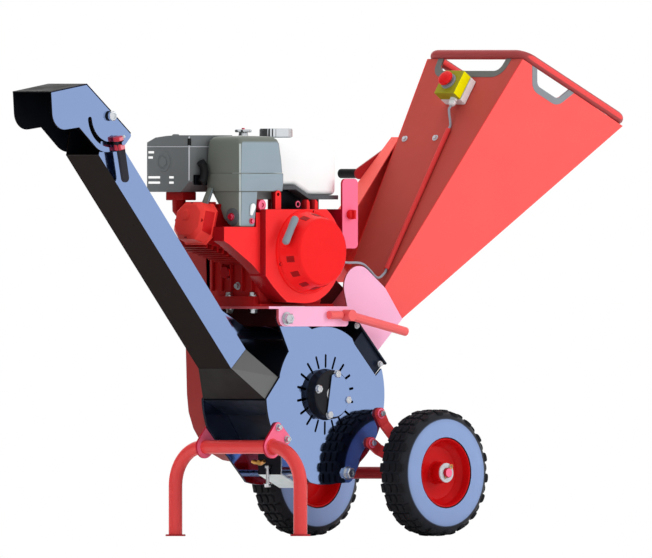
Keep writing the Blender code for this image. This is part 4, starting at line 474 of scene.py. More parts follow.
# %% Turned shapes, stacks and boxes
def lathe(profile, place, direction, steps=64):
    """A turned shape: radius and height pairs, from one end of the axis to the other."""
    turn = Vector(direction).to_track_quat("Z", "Y").to_matrix()
    shape = bmesh.new()
    rings = []
    for radius, height in profile:
        count = steps if radius > 1e-6 else 1
        ring = []
        for index in range(count):
            angle = math.tau * index / steps
            spot = Vector((radius * math.cos(angle), radius * math.sin(angle), height))
            ring.append(shape.verts.new(Vector(place) + turn @ spot))
        rings.append(ring)
    closed = profile[0][0] > 1e-6 and profile[-1][0] > 1e-6
    pairs = list(zip(rings, rings[1:])) + ([(rings[-1], rings[0])] if closed else [])
    for upper, lower in pairs:
        for index in range(steps):
            a, b = upper[index % len(upper)], upper[(index + 1) % len(upper)]
            c, d = lower[(index + 1) % len(lower)], lower[index % len(lower)]
            corners = [v for i, v in enumerate((a, b, c, d)) if v not in (a, b, c, d)[:i]]
            if len(corners) > 2:
                shape.faces.new(corners)
    return mesh_from(shape, "turned")


def turned(profile, place, direction, steps=64):
    """A turned shape whose two ends are flat."""
    return lathe([(0, profile[0][1]), *profile, (0, profile[-1][1])], place, direction, steps)


def loft(rings):
    """A closed shape through rings of equally many points."""
    shape = bmesh.new()
    made = [[shape.verts.new(spot) for spot in ring] for ring in rings]
    count = len(made[0])
    for lower, upper in zip(made, made[1:]):
        for i in range(count):
            shape.faces.new((lower[i], lower[(i + 1) % count], upper[(i + 1) % count], upper[i]))
    shape.faces.new(made[0][::-1])
    shape.faces.new(made[-1])
    return mesh_from(shape, "loft")


def block(low, high):
    """A box between two corners."""
    shape = bmesh.new()
    bmesh.ops.create_cube(shape, size=1.0)
    low, high = Vector(low), Vector(high)
    bmesh.ops.scale(shape, verts=shape.verts, vec=high - low)
    bmesh.ops.translate(shape, verts=shape.verts, vec=(low + high) / 2)
    return mesh_from(shape, "block")


# %% [markdown]
# Sheet is cut flat and has a thickness, and bars and tubes follow a line. A curve object in Blender
# does both: it fills an outline and leaves its holes open, or it carries a round section along a path.

# %% Plates and pipes
def curve_mesh(lines, closed, **settings):
    """The mesh that a curve along some lines of points turns into."""
    curve = bpy.data.curves.new("line", "CURVE")
    for name, value in settings.items():
        setattr(curve, name, value)
    for points in lines:
        spline = curve.splines.new("POLY")
        spline.points.add(len(points) - 1)
        for knot, place in zip(spline.points, points):
            knot.co = (*Vector(place).to_3d(), 1.0)
        spline.use_cyclic_u = closed
    holder = bpy.data.objects.new("line", curve)
    scene.collection.objects.link(holder)
    mesh = bpy.data.meshes.new_from_object(holder.evaluated_get(bpy.context.evaluated_depsgraph_get()))
    bpy.data.objects.remove(holder)
    bpy.data.curves.remove(curve)
    return mesh


def plate(outline, y_from, y_to, holes=()):
    """A plate along X and Z, from world points (x, z), between two values of Y."""
    mesh = curve_mesh((outline, *holes), True, dimensions="2D", fill_mode="BOTH",
                      extrude=abs(y_to - y_from) / 2)
    mesh.transform(Matrix(((1, 0, 0, 0), (0, 0, -1, (y_from + y_to) / 2), (0, 1, 0, 0), (0, 0, 0, 1))))
    shape = bmesh.new()
    shape.from_mesh(mesh)
    bmesh.ops.remove_doubles(shape, verts=shape.verts, dist=1e-6)
    bmesh.ops.dissolve_limit(shape, angle_limit=FLAT_ANGLE, verts=shape.verts, edges=shape.edges)
    return mesh_from(shape, "plate")


def pipe(points, radius, closed=False, sides=4):
    """A round bar along world points."""
    shape = bmesh.new()
    shape.from_mesh(curve_mesh([points], closed, dimensions="3D", bevel_depth=radius,
                               bevel_resolution=sides, use_fill_caps=True))
    bmesh.ops.remove_doubles(shape, verts=shape.verts, dist=1e-6)
    return mesh_from(shape, "pipe")


# %% [markdown]
# Most outlines are drawn flat: arcs and circles, and paths whose corners are rounded off. They are
# plain lists of points, so the same outline can serve as an edge, a hole or a path.

# %% Outlines and paths
def arc(centre, radius, start, end, steps):
    """Flat points on an arc, the angles in degrees."""
    turns = [math.radians(start + (end - start) * i / steps) for i in range(steps + 1)]
    return [(centre[0] + radius * math.cos(a), centre[1] + radius * math.sin(a)) for a in turns]


def circle(centre, radius, steps):
    """Flat points on a whole circle."""
    return arc(centre, radius, 0, 360, steps)[:-1]


def hoop(centre, radius, steps):
    """World points on an upright circle that faces along Y."""
    return [Vector((x, centre.y, z)) for x, z in circle((centre.x, centre.z), radius, steps)]


def rounded(points, radius, steps=6, closed=True):
    """A path, flat or in space, whose corners are arcs; radius is one value or one for each corner."""
    count = len(points)
    radii = radius if isinstance(radius, (list, tuple)) else [radius] * count
    result = []
    for index, corner in enumerate(points):
        corner = Vector(corner)
        if (not closed and index in (0, count - 1)) or radii[index] <= 0:
            result.append(tuple(corner))
            continue
        before = (Vector(points[index - 1]) - corner).normalized()
        after = (Vector(points[(index + 1) % count]) - corner).normalized()
        half = before.angle(after) / 2
        middle = corner + (before + after).normalized() * (radii[index] / math.sin(half))
        first = corner + before * (radii[index] / math.tan(half)) - middle
        last = corner + after * (radii[index] / math.tan(half)) - middle
        sweep = first.angle(last)
        for step in range(steps + 1):
            share = step / steps
            bent = (first * math.sin(sweep * (1 - share))
                    + last * math.sin(sweep * share)) / math.sin(sweep)
            result.append(tuple(middle + bent))
    return result


def joined(*meshes):
    """Several closed shapes in one mesh."""
    shape = bmesh.new()
    for mesh in meshes:
        shape.from_mesh(mesh)
    return mesh_from(shape, "joined")

# %% [markdown]
# Geometry Nodes set what repeats in rows: tyre lugs, bolts and slots. A tree takes a mesh of
# single points, each with the direction it faces, and puts a copy of a small shape on every one.
# The result is turned into a plain mesh, because the export drops instances.

# %% Repeat with Geometry Nodes
def repeat(name, shape_mesh, places, material, turns, body="chassis"):
    """Copies of a small mesh, one at each place, turned by each place's rotation."""
    seeds = bpy.data.meshes.new(f"{name}_places")
    seeds.from_pydata([tuple(p) for p in places], [], [])
    turn_data = seeds.attributes.new("turn", "FLOAT_VECTOR", "POINT")
    for index, turn in enumerate(turns):
        turn_data.data[index].vector = turn.to_euler()
    sample = bpy.data.objects.new(f"{name}_sample", shape_mesh)
    tree = bpy.data.node_groups.new(f"{name}_tree", "GeometryNodeTree")
    tree.interface.new_socket("Geometry", in_out="INPUT", socket_type="NodeSocketGeometry")
    copied = tree.interface.new_socket("Copied shape", in_out="INPUT", socket_type="NodeSocketObject")
    tree.interface.new_socket("Geometry", in_out="OUTPUT", socket_type="NodeSocketGeometry")
    entry = add(tree, "NodeGroupInput")
    shape = add(tree, "GeometryNodeObjectInfo", {"Object": entry.outputs["Copied shape"]})
    named = add(tree, "GeometryNodeInputNamedAttribute", {"Name": "turn"}, data_type="FLOAT_VECTOR")
    as_turn = add(tree, "FunctionNodeEulerToRotation", {0: named.outputs["Attribute"]})
    points = add(tree, "GeometryNodeMeshToPoints", {"Mesh": entry.outputs["Geometry"]})
    copies = add(tree, "GeometryNodeInstanceOnPoints",
                 {"Points": points.outputs[0], "Instance": shape.outputs["Geometry"],
                  "Rotation": as_turn.outputs[0]})
    real = add(tree, "GeometryNodeRealizeInstances", {"Geometry": copies.outputs[0]})
    painted = add(tree, "GeometryNodeSetMaterial", {"Geometry": real.outputs[0], "Material": material})
    add(tree, "NodeGroupOutput", {0: painted.outputs[0]})
    holder = bpy.data.objects.new(f"{name}_holder", seeds)
    scene.collection.objects.link(holder)
    setter = holder.modifiers.new("repeat", "NODES")
    setter.node_group = tree
    setter[copied.identifier] = sample
    mesh = bpy.data.meshes.new_from_object(holder.evaluated_get(bpy.context.evaluated_depsgraph_get()))
    for thing in (holder, sample):
        bpy.data.objects.remove(thing)
    mesh.materials.clear()
    print(f"{name}: {len(places)} copies, {len(mesh.polygons)} faces")
    return piece(name, mesh, material, body=body)


def facing(direction):
    """A rotation that turns +Z to a direction, with +X as level as it can be."""
    z_axis = Vector(direction).normalized()
    x_axis = Vector(UP).cross(z_axis)
    if x_axis.length < 1e-6:
        x_axis = Vector((1, 0, 0))
    x_axis.normalize()
    y_axis = z_axis.cross(x_axis)
    return Matrix((x_axis, y_axis, z_axis)).transposed()


# %% [markdown]
# Bolts are hexagons with a chamfered top, on a washer where one shows. Some sheets have another finish
# on the faces that look one way, such as the inside of the chute. A second material slot gives it to
# them without cutting the mesh, and the faces are picked by the way they point.

# %% Bolts and finishes of faces
def hexagon_bolt(flats, head, washer=0.0, washer_thickness=0.0015):
    """A hexagon head with a chamfered top, on a washer; it stands on z = 0 along +Z."""
    radius = flats / 2 / math.cos(math.pi / 6)
    base = washer_thickness if washer else 0.0
    levels = ((radius, base), (radius, base + head * 0.82), (radius * 0.86, base + head),
              (radius * 0.45, base + head), (radius * 0.4, base + head * 0.9))
    bolt = loft([[(x, y, height) for x, y in circle((0, 0), reach, 6)] for reach, height in levels])
    if not washer:
        return bolt
    return joined(bolt, turned([(washer, 0), (washer, base)], (0, 0, 0), UP, 20))


def wrapped(points):
    """The outline of a band stretched round flat points."""
    ordered = sorted(set(points))
    outline = []
    for run in (ordered, ordered[::-1]):
        line = []
        for point in run:
            while len(line) > 1 and ((line[-1][0] - line[-2][0]) * (point[1] - line[-2][1])
                                     <= (line[-1][1] - line[-2][1]) * (point[0] - line[-2][0])):
                line.pop()
            line.append(point)
        outline += line[:-1]
    return outline


def set_bolt(name, place, direction, material, flats=0.012, head=0.006, washer=0.0):
    """One hexagon bolt standing on a face."""
    mesh = hexagon_bolt(flats, head, washer)
    mesh.transform(Matrix.Translation(place) @ facing(direction).to_4x4())
    return piece(name, mesh, material)


def recoat_where(thing, material, chosen):
    """Gives another finish to the faces that a test picks."""
    index = len(thing.data.materials)
    thing.data.materials.append(material)
    for face in thing.data.polygons:
        if chosen(face):
            face.material_index = index
    return thing


def recoat(thing, material, start, end, least=0.004):
    """Gives another finish to the faces that look toward the line between two flat points."""
    start = Vector((start[0], 0, start[1]))
    way = (Vector((end[0], 0, end[1])) - start).normalized()

    def looks_in(face):
        offset = face.center - start
        return face.normal.dot(way * offset.dot(way) - offset) > least

    return recoat_where(thing, material, looks_in)


def recoat_facing(thing, material, direction, least=0.9):
    """Gives another finish to the faces that point along a direction."""
    way = Vector(direction).normalized()
    return recoat_where(thing, material, lambda face: face.normal.dot(way) > least)

# %% [markdown]
# Each wheel is a solid rubber tyre on a deep pressed steel rim. The tread is rows of small blocks, four
# and three by turns, each with one side curved like a thumbnail. One block is modelled, and the nodes
# above place it on the carcass. The tops of the blocks are the tyre's full radius.

# %% Tyres
WHEEL_RADIUS = 0.155
WHEEL_Z = 0.155
WHEEL_MID = 0.2225
TYRE_HALF = 0.042
LUG_HEIGHT = 0.0045
LUG_LENGTH = 0.0225
LUG_WIDTH = 0.0165
LUG_ROWS = 36
LUG_PITCH = 0.0205
SIDEWALL_OUTER = 0.13
SIDEWALL_INNER = 0.085
CORNER_ROOM = 0.0004


def tread_block():
    """One block of the tread: its length along X, its curved side towards +Y, its top towards +Z."""
    half, width = LUG_LENGTH / 2, LUG_WIDTH / 2
    bow = [(half * math.cos(t), width * (0.35 + 0.65 * math.sin(t)))
           for t in [math.pi * i / 6 for i in range(7)]]
    outline = [(-half, -width), (half, -width)] + bow
    levels = ((1.0, -0.004), (0.97, LUG_HEIGHT * 0.7), (0.86, LUG_HEIGHT))
    return loft([[(x * share, y * share, height) for x, y in outline] for share, height in levels])


CARCASS = WHEEL_RADIUS - LUG_HEIGHT - CORNER_ROOM
tyre_profile = [(SIDEWALL_INNER, TYRE_HALF - 0.012), (SIDEWALL_INNER + 0.0005, TYRE_HALF - 0.002),
                (SIDEWALL_INNER + 0.002, TYRE_HALF), (SIDEWALL_OUTER, TYRE_HALF),
                (SIDEWALL_OUTER + 0.002, TYRE_HALF - 0.0012), (SIDEWALL_OUTER + 0.008, TYRE_HALF - 0.003),
                (CARCASS - 0.005, TYRE_HALF - 0.0085), (CARCASS - 0.0012, TYRE_HALF - 0.0135),
                (CARCASS, TYRE_HALF - 0.019)]
tyre_profile += [(radius, -height) for radius, height in reversed(tyre_profile)]
for side_name, side in SIDES:
    middle = from_axle(0, side * WHEEL_MID, WHEEL_Z)
    body = f"{side_name}_wheel"
    piece(f"{side_name}_tyre_carcass", lathe(tyre_profile, middle, (0, side, 0), 96), SIDEWALL_RUBBER,
          (f"{side_name}_tyre",), body=body)
    places, turns = [], []
    for row in range(LUG_ROWS):
        angle = math.tau * (row + 0.5) / LUG_ROWS
        out = Vector((math.cos(angle), 0, math.sin(angle)))
        columns = (-1.5, -0.5, 0.5, 1.5) if row % 2 else (-1.0, 0.0, 1.0)
        for column in columns:
            lean = 0.0035 if abs(column) > 1.2 else 0.0
            places.append(middle + out * (CARCASS - lean) + Vector((0, -column * LUG_PITCH, 0)))
            across = Vector(NEAR_WAY) + out * (-0.22 * column if abs(column) > 1.2 else 0.0)
            x_axis = across.cross(out).normalized()
            z_axis = x_axis.cross(across.normalized())
            turns.append(Matrix((x_axis, across.normalized(), z_axis)).transposed())
    repeat(f"{side_name}_tread", tread_block(), places, TYRE_RUBBER, turns, body)

# %% [markdown]
# The rim is one pressed steel bowl: a rolled lip, a deep wall, a flat disc and a welded hub tube. It
# is turned from one profile, as on a spinning lathe. A grey washer and a split pin hold it on the axle.

# %% Rims and hub ends
HUB_RADIUS = 0.0258
HUB_HALF = 0.0405
RIM_LIP = 0.0415


def rim_profile():
    """The rim's section from its outer lip to its inner lip, thickness and hub included."""
    bore = 0.0126
    return [(bore, HUB_HALF - 0.01), (bore, HUB_HALF), (HUB_RADIUS - 0.0015, HUB_HALF),
            (HUB_RADIUS, HUB_HALF - 0.0015), (HUB_RADIUS, 0.012), (HUB_RADIUS + 0.003, 0.008),
            (0.04, 0.0068), (0.0585, 0.0068), (0.0645, 0.0085), (0.068, 0.013), (0.077, 0.02),
            (0.079, 0.024), (0.08, RIM_LIP - 0.004), (0.0815, RIM_LIP - 0.0008), (0.0832, RIM_LIP),
            (0.0846, RIM_LIP - 0.0014), (0.0846, RIM_LIP - 0.006), (0.0842, 0.0),
            (0.0846, -RIM_LIP + 0.006), (0.0846, -RIM_LIP + 0.0014), (0.0832, -RIM_LIP),
            (0.0815, -RIM_LIP + 0.0008), (0.08, -RIM_LIP + 0.004), (0.079, -0.012), (0.076, -0.004),
            (0.0645, 0.004), (0.0585, 0.0028), (0.04, 0.0028), (HUB_RADIUS, 0.0028),
            (HUB_RADIUS, -HUB_HALF), (bore, -HUB_HALF), (bore, -HUB_HALF + 0.01)]


for side_name, side in SIDES:
    middle = from_axle(0, side * WHEEL_MID, WHEEL_Z)
    piece(f"{side_name}_rim_bowl", lathe(rim_profile(), middle, (0, side, 0), 96), RIM_ENAMEL,
          (f"{side_name}_rim",), body=f"{side_name}_wheel")
print("rims reach", round(WHEEL_MID + HUB_HALF, 4), "m from the middle")

# %% [markdown]
# The axle is a red tube between the struts with bright ends. Each end carries a grey washer and a
# split pin whose eye stands up and whose legs are bent round the axle. All of it is round, so it is
# turned, and the pin is a bar along a bent path.

# %% Axle
AXLE_RADIUS = 0.012
axle_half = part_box("axle")[1].y
axle_line = from_axle(0, 0, WHEEL_Z)
STRUT_FACE = 0.1575
middle_tube = turned([(AXLE_RADIUS + 0.0028, STRUT_FACE), (AXLE_RADIUS + 0.0028, -STRUT_FACE)], axle_line,
                     (0, 1, 0), 40)
piece("axle_tube", middle_tube, DARK_TUBE_COAT)
bar = turned([(AXLE_RADIUS - 0.0015, axle_half), (AXLE_RADIUS, axle_half - 0.0015),
              (AXLE_RADIUS, -axle_half + 0.0015), (AXLE_RADIUS - 0.0015, -axle_half)],
             axle_line, (0, 1, 0), 40)
piece("axle_bar", bar, PANEL_COAT, ("axle",))
for side_name, side in SIDES:
    washer_at = axle_line + Vector((0, side * (WHEEL_MID + 0.0403), 0))
    washer = lathe([(AXLE_RADIUS + 0.0004, 0.0), (AXLE_RADIUS + 0.0004, 0.004), (0.0225, 0.004),
                    (0.0238, 0.0028), (0.0238, 0.0)], washer_at, (0, side, 0), 48)
    piece(f"{side_name}_axle_washer", washer, PALE_GREY)
    pin_at = axle_line + Vector((0, side * (axle_half - 0.0045), 0))
    lean = Vector((0.62, 0, 0.78))
    eye = [pin_at + lean * (AXLE_RADIUS + 0.0072) + lean * 0.005 * math.cos(t)
           + Vector((0.78, 0, -0.62)) * 0.0042 * math.sin(t)
           for t in [math.tau * i / 14 for i in range(14)]]
    leg = [pin_at + lean * (AXLE_RADIUS + 0.003), pin_at - lean * (AXLE_RADIUS + 0.002),
           pin_at - lean * (AXLE_RADIUS + 0.005) + Vector((0.004, 0, -0.001))]
    piece(f"{side_name}_split_pin", joined(pipe(eye, 0.0014, True, 2), pipe(leg, 0.0016, False, 2)), BRASS)
print("axle:", round(2 * axle_half, 4), "m long")

# %% [markdown]
# The stand is one bent tube with a round foot plate under each leg and a plate welded on at each
# side, which bolts to the housing. The CAD tube has few sides, so it is bent again with more, from
# the same corner points.

# %% Stand
STAND_X = AXLE_X - 0.456
STAND_LEG = 0.216
STAND_HEIGHT = 0.218
STAND_TUBE = 0.01685
STAND_BEND = 0.095
stand_path = rounded([(STAND_X, -STAND_LEG, 0.0045), (STAND_X, -STAND_LEG, STAND_HEIGHT),
                      (STAND_X, STAND_LEG, STAND_HEIGHT), (STAND_X, STAND_LEG, 0.0045)], STAND_BEND, 18,
                     closed=False)
piece("stand_tube", pipe(stand_path, STAND_TUBE, sides=10), STAND_COAT, ("stand",))
STAND_BOLTS = ((-0.169, -0.0805), (-0.139, -0.1095))
ring_at = (STAND_X, STAND_HEIGHT)
for side_name, side in SIDES:
    foot = turned([(0.0245, 0), (0.0245, 0.0035), (0.0238, 0.0045)], (STAND_X, side * STAND_LEG, 0), UP, 48)
    piece(f"{side_name}_foot_plate", foot, DARK_TUBE_COAT)
    tops = [from_rotor(place) for place in STAND_BOLTS]
    outline = wrapped(circle(ring_at, 0.028, 40) + circle((tops[0].x, tops[0].z), 0.013, 24)
                      + circle((tops[1].x, tops[1].z), 0.013, 24))
    y_from, y_to = sorted((side * 0.1133, side * 0.1193))
    piece(f"{side_name}_stand_plate", plate(outline, y_from, y_to), PANEL_COAT, edge=0.0008)
    for index, top in enumerate(tops):
        seat = Vector((top.x, side * 0.1194, top.z))
        set_bolt(f"{side_name}_stand_bolt_{index + 1}", seat, (0, side, 0), ZINC, 0.013, 0.008, 0.009)
    weld = hoop(Vector((STAND_X, side * 0.1205, STAND_HEIGHT)), STAND_TUBE + 0.0012, 40)
    piece(f"{side_name}_stand_weld", pipe(weld, 0.0026, True, 3), STAND_COAT)
print("stand:", round(2 * STAND_LEG, 4), "m between its legs")

# %% [markdown]
# The rotor's housing is two cut plates with sheet steel between them. The plates' wavy outline is
# made of arcs round the rotor and round the two big tie bolts. Narrow slots fan out round the
# bearing, one every twenty degrees, cut by the same loop as in the CAD source but with finer arcs.

# %% Housing plates
FEED = math.radians(43.7)
HOUSING_HALF = 0.107
PLATE_OUT = 0.113
UPPER_LOBE = (-0.143, 0.1855)
LOWER_LOBE = (0.077, -0.1925)
BEARING_BOLT_CIRCLE = 0.0515
BEARING_BOLT_TURN = 75.0
VENT_SLOTS = 18
VENT_FROM, VENT_TO, VENT_HALF = 0.06825, 0.09575, 0.0031


def in_feed(s, t):
    """X and Z from the rotor's axis of a point s along the infeed and t above its middle line."""
    return (math.cos(FEED) * s - math.sin(FEED) * t, math.sin(FEED) * s + math.cos(FEED) * t)


def rotor_points(points):
    """World X and Z of flat points counted from the rotor's axis."""
    return [(ROTOR_X + x, ROTOR_Z + z) for x, z in points]


def housing_outline():
    """The outline of a side plate, from the rotor's axis, anticlockwise."""
    outlet_low = math.hypot(0.203, 0.011)
    return [*arc((0, 0), 0.205, -54, 18, 40), in_feed(0.158, -0.088), in_feed(0.158, 0.019),
            *arc((0, 0), 0.166, 56, 106, 26), *arc(UPPER_LOBE, 0.0235, 92, 232, 22),
            *arc((0, 0), 0.164, 140, 163, 12), (-0.157, 0.042), (-0.203, -0.011),
            *arc((0, 0), outlet_low, 186, 204, 12), *arc((0, 0), 0.221, 256, 280, 14),
            *arc(LOWER_LOBE, 0.0235, 262, 320, 12)]


def vent_slots():
    """Narrow radial slots with round ends, from the rotor's axis."""
    slots = []
    for index in range(VENT_SLOTS):
        turn = 9.0 + 360 / VENT_SLOTS * index
        along = Vector((math.cos(math.radians(turn)), math.sin(math.radians(turn))))
        outer, inner = along * VENT_TO, along * VENT_FROM
        slots.append(arc(outer, VENT_HALF, turn - 90, turn + 90, 6)
                     + arc(inner, VENT_HALF, turn + 90, turn + 270, 6))
    return slots


bolt_ring = [arc((0, 0), BEARING_BOLT_CIRCLE, BEARING_BOLT_TURN + 90 * i, 0, 1)[0] for i in range(4)]
near_plate = plate(rotor_points(housing_outline()), -PLATE_OUT, -HOUSING_HALF,
                   [rotor_points(slot) for slot in vent_slots()])
piece("near_plate", near_plate, PLATE_COAT, ("near_side_plate",), edge=0.0007)
far_plate = plate(rotor_points(housing_outline()), HOUSING_HALF, PLATE_OUT)
piece("far_plate", far_plate, PLATE_COAT, ("far_side_plate",), edge=0.0007)
soften("casing_lower_sheet", DARK_SHEEN_COAT)
soften("casing_upper_sheet", DARK_SHEEN_COAT)
print("housing:", round(2 * PLATE_OUT, 4), "m over its side plates")

# %% [markdown]
# Each bearing unit is a thick round casting bolted through the plate, with a smooth cover on its
# rear part. The rotor's shaft ends inside it. The cover's pale face is painted reflection, and with
# the darker casting beside it, it copies the light and dark of a reflection across the bearing's
# face. The casting is turned, and the Geometry Nodes set its four bolts, which are alike. The rotor,
# the pulley and the belt are hidden, and the belt's guard is plain folded sheet, so they keep their
# CAD shapes.

# %% Bearings
BEARING_FRONT = 0.0272
for side_name, side in SIDES:
    seat = from_rotor((0, 0), side * (PLATE_OUT + 0.0003))
    profile = [(0, BEARING_FRONT - 0.0015), (0.0575, BEARING_FRONT - 0.0015), (0.06, BEARING_FRONT - 0.004),
               (0.0605, 0.01), (0.062, 0.006), (0.0632, 0.0), (0, 0)]
    piece(f"{side_name}_bearing_casting", lathe(profile, seat, (0, side, 0), 96), CAST,
          (f"{side_name}_bearing",))
    y_foot, y_top = side * (PLATE_OUT + BEARING_FRONT - 0.003), side * (PLATE_OUT + BEARING_FRONT + 0.0025)
    cover = arc((0, 0), 0.0555, -101, 79, 40)
    skew = [(-0.022, -0.0445), (-0.006, 0.0475)]
    outline = [point for point in cover if point[0] > -0.0135 + point[1] * 0.174] + skew[::-1]
    piece(f"{side_name}_bearing_cover", plate(rotor_points(outline), y_foot, y_top), PLATE_COAT, edge=0.001)
    turns = [facing((0, side, 0))] * 4
    heads = [from_rotor(place, side * (PLATE_OUT + BEARING_FRONT - 0.0014)) for place in bolt_ring]
    repeat(f"{side_name}_bearing_bolts", hexagon_bolt(0.0165, 0.0068, 0.0105), heads, ZINC, turns)

shaft = turned([(0.0185, 0.1915), (0.02, 0.19), (0.02, -0.1395)], from_rotor((0, 0)), (0, 1, 0), 48)
piece("rotor_shaft_bar", shaft, ZINC, ("rotor_shaft",), body="rotor_set")
soften("rotor", DARK_SHEET, 0.0012)
soften("rotor_pulley", CAST, 0.001)
soften("crankshaft", ZINC, 0.0008)
soften("drive_belt", BLACK_RUBBER, 0.001)
soften("belt_guard", GUARD_COAT, 0.0045, 3)

# %% [markdown]
# The fasteners. A big bolt has a chamfered hexagon head on a broad washer, with the thread's end
# showing past its nut. The small ones are the same shape at a third of the size, set in rows by
# the Geometry Nodes above.

# %% Big tie bolts
def big_bolt(name, node, place, head_y, nut_y):
    """Head, washer, shank, nut and second washer of a bolt along Y."""
    x, z = ROTOR_X + place[0], ROTOR_Z + place[1]
    head = hexagon_bolt(0.024, 0.013, 0.0165, 0.003)
    head.transform(Matrix.Translation((x, head_y, z)) @ facing(NEAR_WAY).to_4x4())
    nut = hexagon_bolt(0.024, 0.0105, 0.0165, 0.003)
    nut.transform(Matrix.Translation((x, nut_y, z)) @ facing((0, 1, 0)).to_4x4())
    shank = turned([(0.007, nut_y + 0.0145), (0.008, nut_y + 0.0135), (0.008, head_y)], (x, 0, z),
                   (0, 1, 0), 24)
    return piece(name, joined(head, nut, shank), ZINC, (node,))


RAIL_OUT = 0.1213
big_bolt("deck_tie_bolt", "deck_bolt", UPPER_LOBE, -RAIL_OUT - 0.0003, -HOUSING_HALF + 0.0003)
big_bolt("lower_tie", "lower_tie_bolt", LOWER_LOBE, -PLATE_OUT - 0.0003, PLATE_OUT + 0.0003)
print("tie bolts in the lobes at", UPPER_LOBE, "and", LOWER_LOBE)

# %% [markdown]
# The engine stands on a deck of folded plate between the side plates. The belt is kept taut by the
# short arm on its near rail, which ends in a long tube. Both are plain sheet and tube, so they keep
# their CAD shapes. The deck's faces that look inward, under the engine, get painted shade, and the
# lug on its rail a finish of its own.

# %% Deck and tension lever
DECK_SHADE = paint("deck_painted_shade", "#3A1214", "#4A1518", 0.5)
deck = soften("engine_deck", RED_SHEEN_COAT, 0.0012)
recoat(deck, DECK_SHADE, (AXLE_X - 0.55, 0.53), (AXLE_X - 0.2, 0.53), 0.02)
LUG_FROM = -0.1216
recoat_where(deck, LEVER_COAT, lambda face: face.center.y < LUG_FROM)
soften("tension_lever", LEVER_COAT, 0.001)
print("deck:", len(deck.data.polygons), "flat faces")

# %% [markdown]
# Two flat bars on each side tie the axle to the housing. A bolt on a round pad holds each bar's end.
# The bars and the bracket under the housing are cut from sheet, so their CAD shapes are kept.

# %% Axle struts
STRUT_PADS = ((0.185, -0.0465), (0.154, -0.1185))
soften("near_axle_strut", TUBE_COAT, 0.0012)
soften("far_axle_strut", TUBE_COAT, 0.0012)
# The bracket's faces toward the chute get the dark coat as painted shade.
recoat_facing(soften("under_bracket", ZINC_SHEET, 0.001), DARK_SHEEN_COAT, CHUTE_WAY)
for side_name, side in SIDES:
    for index, pad in enumerate(STRUT_PADS):
        seat = from_rotor(pad, side * 0.1215)
        ring = turned([(0.0125, 0.0012), (0.0135, 0.0)], seat, (0, side, 0), 40)
        piece(f"{side_name}_strut_ring_{index + 1}", ring, PANEL_COAT)
        set_bolt(f"{side_name}_strut_bolt_{index + 1}", seat + Vector((0, side * 0.0013, 0)), (0, side, 0),
                 ZINC, 0.013, 0.0075, 0.0088)
print("strut bolts:", len(SIDES) * len(STRUT_PADS))

# %% [markdown]
# The bracket under the housing carries a brass wing nut and a long screw. The wings are bent bars set
# in a turned core, and the screw's head and nut are the same bolt shape as elsewhere.

# %% Bracket screws
WING_AT = from_axle(-0.3945, -0.02, 0.18)
wing_core = turned([(0.0075, 0), (0.0062, 0.011)], WING_AT, CHUTE_WAY, 24)
wings = [pipe([WING_AT + Vector((-0.005, side * 0.005, 0)), WING_AT + Vector((-0.009, side * 0.016, 0.001)),
               WING_AT + Vector((-0.012, side * 0.021, 0.004))], 0.005, sides=4) for side in (-1, 1)]
piece("bracket_wing_nut", joined(wing_core, *wings), BRASS, edge=0.0006)
screw = turned([(0.0042, 0.026), (0.0042, -0.012)], from_axle(-0.353, 0.0, 0.14), UP, 24)
piece("bracket_screw", screw, ZINC)
set_bolt("bracket_screw_head", from_axle(-0.353, 0.0, 0.166), UP, ZINC, 0.014, 0.0075)
set_bolt("bracket_screw_nut", from_axle(-0.353, 0.0, 0.129), (0, 0, -1), CHROME, 0.014, 0.008, 0.0105)
print("wing nut:", round(WING_AT.z, 3), "m above the floor")

# %% [markdown]
# This is the discharge side: a tapering transition, a long square chute, and a hood that turns on its end to
# send the chips high or low. All are folded from sheet. Inside, where no light comes, they are nearly
# black, so the faces that look inward get painted shade.

# %% Inside faces
INSIDE_SHADE = paint("black_inside_painted_shade", "#07080D", "#070A12", 0.6)
# The roof's top is a little lighter than the black as painted sheen, and its end faces get a dark painted
# sheen.
ROOF_COAT = paint("black_roof_painted_sheen", "#211F1E", "#151B2E", 0.5)
print("materials with the inside coats:", len(bpy.data.materials))

# %% [markdown]
# The hood's side plates have a round lobe at the mouth and one round the pivot, and a curved slot for
# the clamp. The roof is one strip bent over both plates. The plates are flat outlines with holes, so
# that the slot is really cut through them.

# %% Deflector hood
PIVOT = (ROTOR_X - 0.698, ROTOR_Z + 0.6815)
HOOD_HALF = 0.0667
SHEET = 0.003
PIVOT_HOLE = 0.0087
SLOT_MIDDLE, SLOT_HALF_WIDTH = 0.07, 0.0065
SLOT_FROM, SLOT_TO = -173.0, -66.5


def from_pivot(*points):
    """Flat world points, from points counted from the hood's pivot."""
    return [(PIVOT[0] + u, PIVOT[1] + v) for u, v in points]


def curved_slot():
    """The outline of the clamp's slot, with round ends."""
    end_to = arc(PIVOT, SLOT_MIDDLE, SLOT_TO, 0, 1)[0]
    end_from = arc(PIVOT, SLOT_MIDDLE, SLOT_FROM, 0, 1)[0]
    return (arc(PIVOT, SLOT_MIDDLE + SLOT_HALF_WIDTH, SLOT_FROM, SLOT_TO, 32)
            + arc(end_to, SLOT_HALF_WIDTH, SLOT_TO, SLOT_TO + 180, 10)[1:-1]
            + arc(PIVOT, SLOT_MIDDLE - SLOT_HALF_WIDTH, SLOT_TO, SLOT_FROM, 32)
            + arc(end_from, SLOT_HALF_WIDTH, SLOT_FROM + 180, SLOT_FROM + 360, 10)[1:-1])


